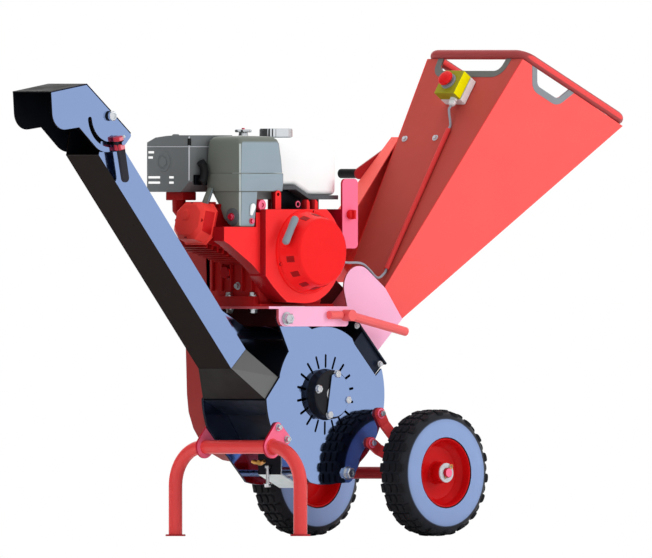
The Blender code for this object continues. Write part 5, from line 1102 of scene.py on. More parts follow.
roof_line = [(0.0725, -0.0416), (0.022, -0.001), (-0.08, 0.079), (-0.204, 0.06)]
roof_under = [(0.0706, -0.0439), (0.0201, -0.0034), (-0.0808, 0.0758), (-0.2036, 0.057)]
mouth_lobe = rounded([(-0.2036, 0.057), (-0.1965, -0.0385), (-0.1065, -0.028)], 0.043, 14, False)
pivot_lobe = rounded([(-0.1065, -0.028), (-0.033, -0.0895), (0.036, -0.0868), (0.0765, -0.047),
                      (0.0201, -0.0034)], [0, 0.062, 0.024, 0.008, 0], 12, False)
side_line = roof_under[1:] + [p[:2] for p in mouth_lobe[1:]] + [p[:2] for p in pivot_lobe[1:-1]]
pivot_hole = circle(PIVOT, PIVOT_HOLE, 32)
near_side = plate(from_pivot(*side_line), -HOOD_HALF, -HOOD_HALF + SHEET, [curved_slot(), pivot_hole])
far_side = plate(from_pivot(*side_line), HOOD_HALF - SHEET, HOOD_HALF, [pivot_hole])
roof = plate(from_pivot(*(roof_line + roof_under[::-1])), -HOOD_HALF, HOOD_HALF)
hood = piece("hood_sides", joined(near_side, far_side), BLACK_COAT, ("deflector",),
             body=nodes["deflector"]["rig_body"], edge=0.0005)
hood_roof = piece("hood_roof", roof, ROOF_COAT, body=nodes["deflector"]["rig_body"])
# The inward faces of the hood get the painted shade.
for hood_part in (hood_roof, hood):
    recoat(hood_part, INSIDE_SHADE, *from_pivot((0.01, -0.02), (-0.2, 0.012)))
print("hood:", round(2 * HOOD_HALF, 4), "m wide, its slot", SLOT_TO - SLOT_FROM, "degrees long")

# %% [markdown]
# The chute's own plates are kept. Its back wall goes on a little past its mouth, under the hood, so
# that no chips fly out behind. The pivot bolt has a bright flanged head on a dark spacer.

# %% Chute
soften("chute_transition", GUIDE_COAT)
FOOT_MIDDLE = (ROTOR_X - 0.244, ROTOR_Z + 0.087)
HEAD_MIDDLE = (ROTOR_X - 0.6845, ROTOR_Z + 0.5935)
# The chute's inward faces get the painted shade.
recoat(soften("discharge_chute", BLACK_COAT), INSIDE_SHADE, FOOT_MIDDLE, HEAD_MIDDLE)
head_high = Vector((ROTOR_X - 0.642, ROTOR_Z + 0.6015))
chute_way = Vector((-0.423, 0.491)).normalized()
chute_in = Vector((-chute_way.y, -0.653)).normalized()
flap_end = head_high + chute_way * 0.055
flap_inside = chute_in * SHEET
flap_line = [tuple(p) for p in (head_high, flap_end, flap_end + flap_inside, head_high + flap_inside)]
flap = piece("chute_back_flap", plate(flap_line, -0.0538, 0.0538), BLACK_COAT)
# The flap's inward faces get the painted shade too.
recoat(flap, INSIDE_SHADE, FOOT_MIDDLE, HEAD_MIDDLE)
lip = (ROTOR_X - 0.7262, ROTOR_Z + 0.5862)
piece("chute_lip", pipe([(lip[0], -0.0563, lip[1]), (lip[0], 0.0563, lip[1])], 0.0017, sides=3), GUIDE_COAT)
for side_name, side in SIDES:
    seat = Vector((PIVOT[0], side * (HOOD_HALF + 0.0004), PIVOT[1]))
    spacer = turned([(0.0122, 0), (0.0122, 0.005)], seat, (0, side, 0), 40)
    piece(f"{side_name}_pivot_spacer", spacer, BLACK_RUBBER)
    head = turned([(0.007, 0.0098), (0.0078, 0.0118), (0.0108, 0.0122), (0.0122, 0.011), (0.0124, 0.005)],
                  seat, (0, side, 0), 48)
    piece(f"{side_name}_pivot_head", head, CHROME)
print("chute:", round((Vector(HEAD_MIDDLE) - Vector(FOOT_MIDDLE)).length, 3), "m long")

# %% [markdown]
# A clamp holds the hood at its angle: a ribbed hub on the stud in the slot, and a flat lever. It turns
# on its stud, so its pieces ride on a body of their own.

# %% Clamp
CLAMP_BODY = nodes["clamp_lever"]["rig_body"]
CLAMP_COAT = paint("dark_lever_coat", "#2B2A33", None, 0.45)
# The clamp ring's pink long sides are painted sheen.
RING_COAT = paint("clamp_ring_coat", "#C43A48", "#F08C98", 0.3)
clamp_at = arc(PIVOT, SLOT_MIDDLE, -72.0, 0, 1)[0]
clamp_tip = (clamp_at[0] + 0.018, clamp_at[1] - 0.085)
hub_at = Vector((clamp_at[0], -0.0755, clamp_at[1]))
lever_way = Vector((clamp_tip[0] - clamp_at[0], 0, clamp_tip[1] - clamp_at[1])).normalized()
rings = [turned([(0.012, -0.0165), (0.0132, -0.015), (0.0132, -0.007), (0.012, -0.0055)], hub_at,
                lever_way, 40),
         turned([(0.012, 0.002), (0.0132, 0.0035), (0.0132, 0.015), (0.012, 0.0165)], hub_at,
                lever_way, 40)]
piece("clamp_rings", joined(*rings), RING_COAT, ("clamp_lever",), body=CLAMP_BODY)
core = turned([(0.0092, -0.007), (0.0092, 0.004)], hub_at, lever_way, 32)
seat = turned([(0.011, 0.015), (0.011, 0.0)], (clamp_at[0], -HOOD_HALF - 0.0006, clamp_at[1]), NEAR_WAY, 32)
piece("clamp_core", joined(core, seat), BLACK_RUBBER, body=CLAMP_BODY)
lean = math.degrees(math.atan2(clamp_tip[1] - clamp_at[1], clamp_tip[0] - clamp_at[0]))
bar_line = arc(clamp_at, 0.012, lean + 90, lean + 270, 16) + arc(clamp_tip, 0.011, lean - 90, lean + 90, 16)
piece("clamp_bar", plate(bar_line, -0.0827, -0.0747), CLAMP_COAT, body=CLAMP_BODY, edge=0.0012)
stud_tip = turned([(0.0034, 0.006), (0.004, 0.0052), (0.004, 0)],
                  (clamp_at[0] + 0.004, -0.085, clamp_at[1] + 0.014), (0.35, -1, 0.6), 20)
piece("clamp_stud_tip", stud_tip, PALE_GREY, body=CLAMP_BODY)
print("clamp lever leans", round(lean, 1), "degrees")

# %% [markdown]
# The engine is the busiest part of the machine. Its covers are pressed and moulded shells, so they
# are made from their own outlines and not from boxes: stacks of rounded rectangles for the air
# cleaner, wavy rings for the knobs that fingers turn, and folded sheet for the muffler's guard.

# %% Covers and knobs
def across(outline, x_from, x_to, holes=()):
    """A plate along Y and Z, from points (y, z), between two values of X."""
    mesh = plate(outline, x_from, x_to, holes)
    mesh.transform(Matrix(((0, 1, 0, 0), (1, 0, 0, 0), (0, 0, 1, 0), (0, 0, 0, 1))))
    mesh.flip_normals()
    return mesh


def tower(levels):
    """A closed shape through level rounded rectangles: height, X and Y limits and corner radius."""
    rings = []
    for z, x_low, x_high, y_low, y_high, corner in levels:
        spots = rounded([(x_low, y_low), (x_high, y_low), (x_high, y_high), (x_low, y_high)], corner)
        rings.append([(AXLE_X + x, y, z) for x, y in spots])
    return loft(rings)


def fluted(place, radius, depth, count, levels, steps=8):
    """A knob with a wavy edge; the levels are heights and shares of its radius."""
    rings = []
    for height, share in levels:
        ring = []
        for angle in [math.tau * i / (count * steps) for i in range(count * steps)]:
            reach = radius * share - depth * (0.5 - 0.5 * math.cos(angle * count))
            ring.append(place + Vector((reach * math.cos(angle), reach * math.sin(angle), height)))
        rings.append(ring)
    return loft(rings)


# %% [markdown]
# The muffler sits in a guard of folded sheet, open at the far side. The narrow slots in its end face
# let the air through: light falls in at the open side, so they show bright. The muffler itself is the
# drum inside.

# %% Muffler
GUARD_LEFT, GUARD_RIGHT = AXLE_X - 0.6206, AXLE_X - 0.47
GUARD_SHEET = 0.002
GUARD_LINE = [(0.15, 0.842), (0.0337, 0.842), (0.005, 0.867), (0.005, 0.9806), (0.05, 0.9808),
              (0.085, 0.979), (0.121, 0.975), (0.15, 0.963)]
SLOTS = ((0.126, 0.1468, 0.939), (0.1298, 0.1468, 0.9262), (0.105, 0.1468, 0.8777), (0.105, 0.1468, 0.8648),
         (0.058, 0.075, 0.8777), (0.058, 0.075, 0.8648))
SLOT_HALF = 0.0027


def slot_outline(y_low, y_high, z):
    """A slot with square ends in the guard's end face."""
    return [(y_low, z - SLOT_HALF), (y_high, z - SLOT_HALF), (y_high, z + SLOT_HALF), (y_low, z + SLOT_HALF)]


guard_middle = Vector((0.0775, 0.9114))
guard_inner = [tuple(guard_middle + (Vector(p) - guard_middle) * (1 - GUARD_SHEET / 0.0725))
               for p in GUARD_LINE]
guard_end = across(GUARD_LINE, GUARD_LEFT, GUARD_LEFT + GUARD_SHEET,
                   [slot_outline(*slot) for slot in SLOTS])
guard_wrap = across(GUARD_LINE + guard_inner[::-1], GUARD_LEFT + GUARD_SHEET / 2, GUARD_RIGHT)
piece("muffler_guard_end", guard_end, MUFFLER_METAL, edge=0.0006)
piece("muffler_guard_wrap", guard_wrap, MUFFLER_METAL, edge=0.0006)
drum = tower([(0.886, -0.604, -0.48, 0.022, 0.138, 0.02), (0.893, -0.61, -0.474, 0.016, 0.144, 0.024),
              (0.926, -0.61, -0.474, 0.016, 0.144, 0.024), (0.932, -0.604, -0.48, 0.022, 0.138, 0.02)])
piece("muffler_drum", drum, MUFFLER_METAL, ("muffler",))
outlet = turned([(0.011, 0.003), (0.0125, 0.001), (0.0175, 0.001), (0.0185, 0.0026), (0.0235, 0.0026),
                 (0.0245, 0.0008), (0.0285, 0.0008), (0.03, 0.0)], (GUARD_LEFT, 0.092, 0.916), CHUTE_WAY,
                64)
piece("muffler_outlet_boss", outlet, MUFFLER_METAL)
# The seam and the corner bead are real, and their pale grey is a painted highlight along those edges.
seam = [(GUARD_LEFT - 0.0002, 0.149, 0.9527), (GUARD_LEFT - 0.0002, 0.0048, 0.9527),
        (GUARD_RIGHT, 0.0048, 0.9527)]
corner_bead = [(GUARD_LEFT + 0.0008, 0.0052, 0.87), (GUARD_LEFT + 0.0008, 0.0052, 0.978)]
piece("muffler_seams", joined(pipe(seam, 0.001, sides=3), pipe(corner_bead, 0.0018, sides=3)), PALE_GREY)
piece("muffler_clip", block((GUARD_LEFT - 0.0025, 0.0015, 0.956), (GUARD_LEFT + 0.005, 0.008, 0.973)),
      BLACK_RUBBER, edge=0.0008)
piece("muffler_nub", turned([(0.009, 0.0), (0.008, 0.003), (0.005, 0.004)], from_axle(-0.6, 0.071, 0.9795),
                            UP, 32), MUFFLER_METAL)
piece("exhaust_flange", block(from_axle(-0.606, 0.04, 0.8215), from_axle(-0.56, 0.1, 0.8422)), ENGINE_CAST,
      edge=0.002)
manifold = [from_axle(-0.59, 0.07, 0.83), from_axle(-0.59, 0.07, 0.8), from_axle(-0.56, 0.06, 0.765)]
piece("exhaust_pipe", pipe(manifold, 0.017, sides=6), ENGINE_CAST)
hose = [from_axle(-0.592, -0.008, 0.915), from_axle(-0.584, -0.0085, 0.906),
        from_axle(-0.58, -0.0085, 0.89), from_axle(-0.584, -0.008, 0.872), from_axle(-0.59, -0.007, 0.864)]
piece("breather_hose", pipe(hose, 0.0105, sides=6), BLACK_RUBBER)
piece("muffler_bracket", block(from_axle(-0.606, -0.003, 0.859), from_axle(-0.56, 0.004, 0.884)),
      DARK_SHEET, edge=0.001)
print("muffler guard:", round(GUARD_RIGHT - GUARD_LEFT, 4), "m long with", len(SLOTS), "slots")

# %% [markdown]
# The air cleaner is a moulded cover, slightly narrower at its top so that it leaves the mould, on a
# base whose intake narrows down to the carburettor. Its knob has eight lobes.

# %% Air cleaner
cover = tower([(0.8884, -0.564, -0.4135, -0.115, 0.0035, 0.007),
               (0.92, -0.563, -0.416, -0.1142, 0.003, 0.008),
               (0.96, -0.5605, -0.4205, -0.1118, 0.001, 0.009),
               (0.97, -0.558, -0.424, -0.109, -0.001, 0.011),
               (0.9755, -0.553, -0.43, -0.104, -0.006, 0.014),
               (0.9782, -0.545, -0.439, -0.095, -0.014, 0.016),
               (0.979, -0.52, -0.464, -0.07, -0.039, 0.01)])
# Faces on the cover's rounded front corner get a pale plastic, a painted highlight.
CORNER_HIGHLIGHT = moulded("cleaner_corner_painted_highlight", "#C3CCCB", 0.35)
lid_thing = piece("air_cleaner_lid", cover, CLEANER_PLASTIC, ("air_cleaner_cover",))
recoat_facing(lid_thing, CORNER_HIGHLIGHT, (-1, -1, 0), 0.93)
skirt = tower([(0.8425, -0.561, -0.415, -0.1122, 0.0, 0.006),
               (0.8445, -0.5635, -0.4125, -0.1146, 0.0022, 0.007),
               (0.86, -0.5652, -0.4112, -0.116, 0.0038, 0.007),
               (0.8855, -0.5652, -0.4112, -0.116, 0.0038, 0.007),
               (0.8876, -0.564, -0.4125, -0.115, 0.003, 0.007)])
intake = tower([(0.757, -0.556, -0.508, -0.1075, -0.0765, 0.004),
                (0.76, -0.5586, -0.5055, -0.1096, -0.074, 0.006),
                (0.7776, -0.5586, -0.5025, -0.1096, -0.05, 0.007),
                (0.805, -0.5586, -0.497, -0.1096, -0.036, 0.009),
                (0.8425, -0.5588, -0.4915, -0.11, -0.008, 0.01),
                (0.85, -0.5588, -0.478, -0.11, -0.005, 0.01)])
carburettor = block(from_axle(-0.545, -0.08, 0.772), from_axle(-0.512, -0.0453, 0.79))
base_thing = piece("air_cleaner_intake", joined(skirt, intake, carburettor), CLEANER_PLASTIC,
                   ("air_cleaner_base",))
# The same painted highlight goes on the base's front corner.
recoat_facing(base_thing, CORNER_HIGHLIGHT, (-1, -1, 0), 0.93)
KNOB_AT = from_axle(-0.4915, -0.054, 0.9793)
knob_body = nodes["air_cleaner_nut"]["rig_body"]
knob = fluted(KNOB_AT, 0.0205, 0.004, 8, [(0.0085, 0.9), (0.01, 1.0), (0.014, 1.0), (0.0158, 0.88)])
knob_stem = turned([(0.012, 0.0004), (0.0105, 0.009)], KNOB_AT, UP, 32)
piece("air_cleaner_knob", joined(knob, knob_stem), ZINC, ("air_cleaner_nut",), body=knob_body, edge=0.0004)
piece("air_cleaner_stud", lathe([(0, 0.015), (0.0042, 0.015), (0.0038, 0.019), (0, 0.0195)], KNOB_AT, UP,
                                20), PANEL_COAT, body=knob_body)
boss = turned([(0.0185, 0.0035), (0.0212, 0.0018), (0.022, 0.0)], from_axle(-0.5586, -0.0839, 0.781),
              CHUTE_WAY, 48)
piece("intake_boss", boss, FLANGE_GREY)
set_bolt("intake_boss_bolt", from_axle(-0.5621, -0.0839, 0.781), CHUTE_WAY, PANEL_COAT, 0.013, 0.006,
         0.0095)
set_bolt("intake_side_bolt", from_axle(-0.5187, -0.1096, 0.7707), NEAR_WAY, PANEL_COAT, 0.011, 0.005,
         0.0078)
soften("choke_lever", TANK_ENAMEL, 0.0006)
print("air cleaner's knob:", round(KNOB_AT.z, 3), "m above the floor")

# %% [markdown]
# The tank is a pair of pressings welded round a flange. The chrome filler cap has fine flutes for
# the fingers. Under the tank run a grey band, partly the tank's flange and partly painted shade of its
# underside, and a black sheet that stands for the shade under the tank. The shell is a plate as thick
# as the tank is wide, and its broad rounded edges give it the look of a pressing.

# %% Fuel tank
TANK_LINE = ((-0.414, 0.858), (-0.345, 0.858), (-0.2975, 0.834), (-0.1985, 0.834), (-0.1985, 0.945),
             (-0.235, 0.967), (-0.28, 0.974), (-0.414, 0.974))
tank = plate([(AXLE_X + x, z) for x, z in TANK_LINE], -0.085, 0.135)
piece("tank_shell", tank, TANK_ENAMEL, ("fuel_tank",), edge=0.014, segments=5)
FLANGE_DROP = 0.0105
flange_line = [(AXLE_X + x, z) for x, z in TANK_LINE[:4]]
flange = plate(flange_line + [(x, z - FLANGE_DROP) for x, z in flange_line[::-1]], -0.09, 0.138)
piece("tank_flange", flange, FLANGE_GREY, edge=0.0012)
piece("tank_tray", block(from_axle(-0.384, -0.06, 0.8), from_axle(-0.236, -0.0565, 0.848)), DARK_SHEET,
      edge=0.0008)
CAP_AT = from_axle(-0.3246, 0.0, 0.9743)
cap_body = nodes["fuel_cap"]["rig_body"]
cap = fluted(CAP_AT, 0.0405, 0.0011, 30,
             [(0.0003, 0.9), (0.003, 1.0), (0.0195, 1.0), (0.0225, 0.965), (0.0234, 0.9)], 6)
piece("filler_cap", cap, CHROME, ("fuel_cap",), body=cap_body)
print("filler cap:", round(CAP_AT.z, 3), "m above the floor")

# %% [markdown]
# The cylinder lies nearly flat, with the valve cover at its end: a pressed octagonal lid with an oil
# breather boss and four bolts. The lid runs through five rings of eight corners that shrink towards
# its end. The plug's boot is pushed in from above.

# %% Cylinder head
TILT = math.radians(15)
BORE_WAY = Vector((-math.cos(TILT), 0.0, math.sin(TILT)))
BORE_UP = Vector((math.sin(TILT), 0.0, math.cos(TILT)))
LID_ROOT, LID_END = 0.2553, 0.303


def on_bore(u, v, y):
    """World place u along the cylinder from the crankshaft, v above its axis."""
    return beside_crank(0, y, CRANK_Z) + BORE_WAY * u + BORE_UP * v


def lid_ring(half_width, half_height, cut, u):
    """Eight corners of the valve cover at a distance along the cylinder."""
    flat = [(half_width, -half_height + cut), (half_width, half_height - cut),
            (half_width - cut, half_height), (-half_width + cut, half_height),
            (-half_width, half_height - cut), (-half_width, -half_height + cut),
            (-half_width + cut, -half_height), (half_width - cut, -half_height)]
    return [on_bore(u, v, y - 0.011) for y, v in flat]


lid = loft([lid_ring(0.054, 0.052, 0.02, LID_ROOT), lid_ring(0.054, 0.052, 0.02, LID_ROOT + 0.006),
            lid_ring(0.0505, 0.0485, 0.02, LID_ROOT + 0.008), lid_ring(0.049, 0.047, 0.022, LID_END - 0.01),
            lid_ring(0.04, 0.038, 0.02, LID_END)])
piece("valve_lid", lid, VALVE_ENAMEL, ("valve_cover",), edge=0.0022, segments=3)
lid_boss = turned([(0.01, 0.0035), (0.0112, 0.0022), (0.0145, 0.0016), (0.0155, 0.0)],
                  on_bore(LID_END - 0.0004, 0.012, -0.003), BORE_WAY, 40)
piece("valve_lid_boss", lid_boss, VALVE_ENAMEL)
corner_bolts = [on_bore(LID_END - 0.0085, v, y - 0.011)
                for y, v in ((0.043, 0.0), (-0.043, 0.0), (0.0, 0.041), (0.0, -0.041))]
repeat("valve_lid_bolts", hexagon_bolt(0.0085, 0.004), corner_bolts, ENGINE_CAST, [facing(BORE_WAY)] * 4)
soften("cylinder", ENGINE_CAST, 0.0008)
boot_foot, boot_top = on_bore(0.264, 0.04, -0.02), from_axle(-0.57, -0.02, 0.85)
boot_length = (boot_top - boot_foot).length
boot = turned([(0.01, 0), (0.0104, 0.006), (0.0088, 0.01), (0.0082, boot_length - 0.008),
               (0.0062, boot_length)], boot_foot, boot_top - boot_foot, 32)
piece("plug_boot", boot, CLEANER_PLASTIC)
print("plug boot:", round(boot_length, 4), "m long")

# %% [markdown]
# The crankcase is cast, with ribs and bosses on its end and bolts through its feet. The fan's shroud in
# front of it is a glossy pressing: two round stubs and a ring stand on its top.

# %% Crankcase and shroud
soften("crankcase", ENGINE_CAST, 0.002)
soften("fan_cover", ENGINE_ENAMEL, 0.005, 4)
CASE_END = -0.455
ribs = [block(from_axle(CASE_END - 0.0075, y - 0.0022, 0.6), from_axle(CASE_END + 0.001, y + 0.0022, 0.69))
        for y in (-0.052, -0.018, 0.02, 0.052, 0.084)]
ledge = block(from_axle(CASE_END - 0.01, -0.07, 0.69), from_axle(CASE_END + 0.001, 0.1, 0.6975))
piece("crankcase_ribs", joined(*ribs, ledge), ENGINE_CAST, edge=0.0012)
plug = turned([(0.0135, 0.012), (0.015, 0.01), (0.015, 0.002), (0.0185, 0.0)],
              from_axle(CASE_END, 0.036, 0.645), CHUTE_WAY, 40)
piece("oil_filler_plug", plug, ENGINE_ENAMEL)
set_bolt("oil_drain_bolt", from_axle(CASE_END, 0.001, 0.612), CHUTE_WAY, ZINC, 0.012, 0.007, 0.0095)
set_bolt("governor_bolt", from_axle(CASE_END, -0.036, 0.664), CHUTE_WAY, PANEL_COAT, 0.01, 0.006)
for index, foot_y in enumerate((0.0243, -0.058)):
    foot = from_axle(-0.4625, foot_y, 0.5872)
    set_bolt(f"engine_foot_bolt_{index + 1}", foot, UP, ZINC, 0.015, 0.0085, 0.0098)
    set_bolt(f"engine_foot_nut_{index + 1}", from_axle(-0.459, foot_y, 0.5558), (0, 0, -1), ZINC, 0.015,
             0.009, 0.0105)
stubs = [turned([(0.012, 0), (0.012, 0.0255), (0.0105, 0.0275), (0.005, 0.0275), (0.005, 0.024)],
                from_axle(x, -0.098, 0.73), UP, 32) for x in (-0.596, -0.57)]
pin = turned([(0.0055, 0), (0.0055, 0.0225)], from_axle(-0.533, -0.104, 0.732), UP, 24)
piece("shroud_stubs", joined(*stubs, pin), ENGINE_ENAMEL)
lug_x, lug_z = AXLE_X - 0.4366, 0.836
lug_line = arc((lug_x, lug_z), 0.0098, 0, 180, 16) + [(lug_x - 0.0098, 0.796), (lug_x + 0.0098, 0.796)]
piece("lifting_lug", plate(lug_line, -0.12, -0.112, [circle((lug_x, lug_z), 0.0042, 20)]), ENGINE_ENAMEL,
      edge=0.0012)
carrier = turned([(0.014, 0.0), (0.014, 0.02), (0.0125, 0.0215), (0.0055, 0.0215), (0.0045, 0.019)],
                 from_axle(-0.485, -0.092, 0.81), NEAR_WAY, 36)
piece("throttle_carrier", carrier, PANEL_COAT)
piece("throttle_ring", pipe(hoop(from_axle(-0.361, -0.112, 0.812), 0.0068, 24), 0.0017, True, 3),
      PANEL_COAT)
lumps = [lathe([(0, 0), (0.011, 0), (0.0104, 0.018), (0.007, 0.0245), (0, 0.0255)],
               from_axle(x, -0.096, 0.7985), UP, 28) for x in (-0.318, -0.29)]
piece("shroud_top_bosses", joined(*lumps), ENGINE_ENAMEL)
print("crankcase:", len(ribs), "ribs, shroud:", len(stubs), "stubs and", len(lumps), "bosses")

# %% [markdown]
# The recoil starter's cover is a deep pressed cup with a flat face, fixed by three bolts through its
# flange. Slots in its wall let air in; they are not cut, and dark red blocks in the wall stand for
# their openings as painted shade. The grip hangs on the rope at its upper left.

# %% Recoil starter
RECOIL_DEPTH = 0.0607
RECOIL_SLOTS = 14
PULL_TURN = 150
recoil_seat = beside_crank(0, -0.1293, CRANK_Z)
cup = lathe([(0, RECOIL_DEPTH), (0.06, RECOIL_DEPTH), (0.079, RECOIL_DEPTH - 0.0006),
             (0.0822, RECOIL_DEPTH - 0.003), (0.0836, RECOIL_DEPTH - 0.007), (0.096, 0.011),
             (0.0985, 0.0075), (0.1025, 0.0068), (0.104, 0.0052), (0.104, 0.0), (0.094, 0.0), (0.08, 0.05),
             (0, 0.056)], recoil_seat, NEAR_WAY, 128)
piece("recoil_cup", cup, ENGINE_ROUND, ("recoil_cover",))
WALL_LEAN = math.atan2(0.096 - 0.0836, 0.0427)
slot_places, slot_turns = [], []
for index in range(RECOIL_SLOTS):
    angle = math.radians(12 + 360 / RECOIL_SLOTS * index)
    if abs(math.degrees(angle) - PULL_TURN) < 20:
        continue
    outward = Vector((math.cos(angle), 0, math.sin(angle)))
    normal = outward * math.cos(WALL_LEAN) + Vector(NEAR_WAY) * math.sin(WALL_LEAN)
    slot_places.append(recoil_seat + outward * 0.0893 + Vector((0, -0.034, 0)))
    sideways = outward.cross(Vector((0, 1, 0))).normalized()
    slot_turns.append(Matrix((sideways, normal.cross(sideways), normal)).transposed())
# Each slot is a dark block, painted shade of an opening.
repeat("recoil_slots", block((-0.0075, -0.0105, -0.002), (0.0075, 0.0105, 0.0007)), slot_places,
       ENGINE_CAST, slot_turns)
flange_bolts = [recoil_seat + Vector((0.0995 * math.cos(a), -0.0062, 0.0995 * math.sin(a)))
                for a in (math.radians(78), math.radians(198), math.radians(318))]
repeat("recoil_flange_bolts", hexagon_bolt(0.008, 0.0042), flange_bolts, ENGINE_ENAMEL,
       [facing(NEAR_WAY)] * 3)
PULL_OUT = Vector((math.cos(math.radians(PULL_TURN)), 0.0, math.sin(math.radians(PULL_TURN))))
cone_lean = math.atan2(0.022, RECOIL_DEPTH - 0.014)
pull_way = PULL_OUT * math.cos(cone_lean) + Vector(NEAR_WAY) * math.sin(cone_lean)
grip_middle = beside_crank(0, -0.129 - RECOIL_DEPTH * 0.52, CRANK_Z) + PULL_OUT * 0.0932 + pull_way * 0.0123
grip_across = PULL_OUT.cross(Vector((0, 1, 0))).normalized()
handle = lathe([(0, -0.0388), (0.005, -0.0382), (0.0084, -0.0355), (0.0096, -0.029), (0.0088, 0.0),
                (0.0096, 0.029), (0.0084, 0.0355), (0.005, 0.0382), (0, 0.0388)], grip_middle, grip_across,
               32)
neck = turned([(0.0058, -0.0105), (0.0075, -0.004), (0.0075, 0.0)], grip_middle, pull_way, 24)
line_end = turned([(0.0022, -0.03), (0.0022, -0.01)], grip_middle, pull_way, 16)
piece("starter_handle", joined(handle, neck, line_end), GRIP_PLASTIC, ("starter_grip",),
      body=nodes["starter_grip"]["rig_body"])

# %% [markdown]
# A painted plate beside the shroud carries the ignition key switch. Both are plain enough to keep
# their CAD shapes, with softened edges.

# %% Switch panel
soften("switch_panel", PANEL_COAT, 0.0015)
soften("engine_switch", STOP_RED, 0.0008)
print("finish of the panel:", PANEL_COAT.name)

# %% [markdown]
# The infeed and the hopper keep their CAD sheets, with softened edges. The walls lean, so whatever
# lies on one is built flat first and then laid on it: by two corners of the mouth and one of the throat.

# %% Infeed and hopper walls
# The brace's red is lighter than the hopper's as painted light, and the rim tube's bright long sides are
# painted sheen.
BRACE_COAT = paint("hopper_red_painted_light", "#FF6A62", "#FF605D", 0.42)
RIM_COAT = paint("rim_powder_coat", "#A54849", "#F05252", 0.34)
for node, material, edge in (("infeed_collar", DARK_SHEEN_COAT, 0.0008), ("splash_curtain", BLACK_RUBBER, 0.0006),
                             ("hopper_near_wall", HOPPER_COAT, 0.0005),
                             ("hopper_far_wall", HOPPER_COAT, 0.0005),
                             ("hopper_upper_wall", UPPER_SHADE_COAT, 0.0005),
                             ("hopper_lower_wall", HOPPER_COAT, 0.0005),
                             ("hopper_brace", BRACE_COAT, 0.001), ("feed_lever", DARK_TUBE_COAT, 0.001),
                             ("feed_lever_grip", BLACK_RUBBER, 0.001),
                             ("cable_conduit", TUBE_COAT, 0.0005)):
    soften(node, material, edge)
# The infeed box's inward faces get the deck's painted shade.
infeed_inside = [(ROTOR_X + 0.2766, ROTOR_Z + 0.2223), (ROTOR_X + 0.182, ROTOR_Z + 0.1485)]
recoat(soften("infeed_box", RED_SHEEN_COAT, 0.0006), DECK_SHADE, *infeed_inside, least=0.02)
for index, place in enumerate(((-0.159, 0.5147), (-0.0785, 0.4214))):
    set_bolt(f"collar_bolt_{index + 1}", from_axle(place[0], -0.1132, place[1]), NEAR_WAY, PALE_GREY, 0.01,
             0.0055, 0.0075)
print("materials in all:", len(bpy.data.materials))

# %% [markdown]
# A hand hole under the rim in three walls has a grey rubber strip pushed over its edge. Each strip is
# a flat band with round corners, made level and then laid on its wall. The rim is a round tube bent
# along the mouth's four corners, because a swept circle keeps its thickness in the bends.

# %% Edge strips
MOUTH_HIGH, MOUTH_LOW, MOUTH_HALF = (0.634, 0.8195), (0.976, 0.6595), 0.1625
THROAT_HIGH, THROAT_HALF = (0.2475, 0.2595), 0.07
WALL = 0.003
HAND_DEPTH, HAND_ROUND = 0.036, 0.02
RIM_RADIUS, RIM_BEND, RIM_LIFT = 0.0118, 0.03, 0.0128
mouth_way = (from_rotor(MOUTH_LOW) - from_rotor(MOUTH_HIGH)).normalized()
rim_lift = Vector((-mouth_way.z, 0, mouth_way.x)) * RIM_LIFT
rim_corners = [from_rotor(MOUTH_HIGH, -MOUTH_HALF) + rim_lift,
               from_rotor(MOUTH_LOW, -MOUTH_HALF) + rim_lift,
               from_rotor(MOUTH_LOW, MOUTH_HALF) + rim_lift,
               from_rotor(MOUTH_HIGH, MOUTH_HALF) + rim_lift]
piece("rim_round_tube", pipe(rounded(rim_corners, RIM_BEND, 12), RIM_RADIUS, True, 8), RIM_COAT,
      ("rim_tube",))


def lay_on(mesh, origin, toward, other):
    """Turns a flat plate onto a wall: its X toward one corner and its Z toward the other."""
    along = (toward - origin).normalized()
    normal = along.cross(other - origin).normalized()
    down = normal.cross(along)
    rows = [[along[i], down.cross(along)[i], down[i], origin[i]] for i in range(3)]
    mesh.transform(Matrix((*rows, (0, 0, 0, 1))))
    return mesh


def hand_strip(start, end, slant, band, y_from, y_to):
    """A band round the three closed sides of a hand hole, flat, its open side at Z 0."""
    side = math.hypot(slant, HAND_DEPTH)
    out_top = band * side / HAND_DEPTH
    out_low = band * (side - slant) / HAND_DEPTH
    inner = rounded([(start, 0), (start + slant, HAND_DEPTH), (end - slant, HAND_DEPTH), (end, 0)],
                    [0, HAND_ROUND, HAND_ROUND, 0], 8, False)
    outer = rounded([(start - out_top, 0), (start + slant - out_low, HAND_DEPTH + band),
                     (end - slant + out_low, HAND_DEPTH + band), (end + out_top, 0)],
                    [0, HAND_ROUND + band, HAND_ROUND + band, 0], 8, False)
    return plate([p[:2] for p in outer] + [p[:2] for p in inner[::-1]], y_from, y_to)


for side_name, side in SIDES:
    strip = hand_strip(0.052, 0.173, 0.022, 0.0165, -0.001 if side < 0 else -WALL - 0.001,
                       WALL + 0.001 if side < 0 else 0.001)
    lay_on(strip, from_rotor(MOUTH_HIGH, side * MOUTH_HALF), from_rotor(MOUTH_LOW, side * MOUTH_HALF),
           from_rotor(THROAT_HIGH, side * THROAT_HALF))
    piece(f"{side_name}_hand_strip", strip, TRIM_RUBBER, edge=0.0008)
strip = hand_strip(0.0545, 0.2705, 0.004, 0.0185, -WALL - 0.001, 0.001)
lay_on(strip, from_rotor(MOUTH_HIGH, -MOUTH_HALF), from_rotor(MOUTH_HIGH, MOUTH_HALF),
       from_rotor(THROAT_HIGH, -THROAT_HALF))
piece("upper_hand_strip", strip, UPPER_TRIM, edge=0.0008)
mouth_length = (from_rotor(MOUTH_LOW) - from_rotor(MOUTH_HIGH)).length
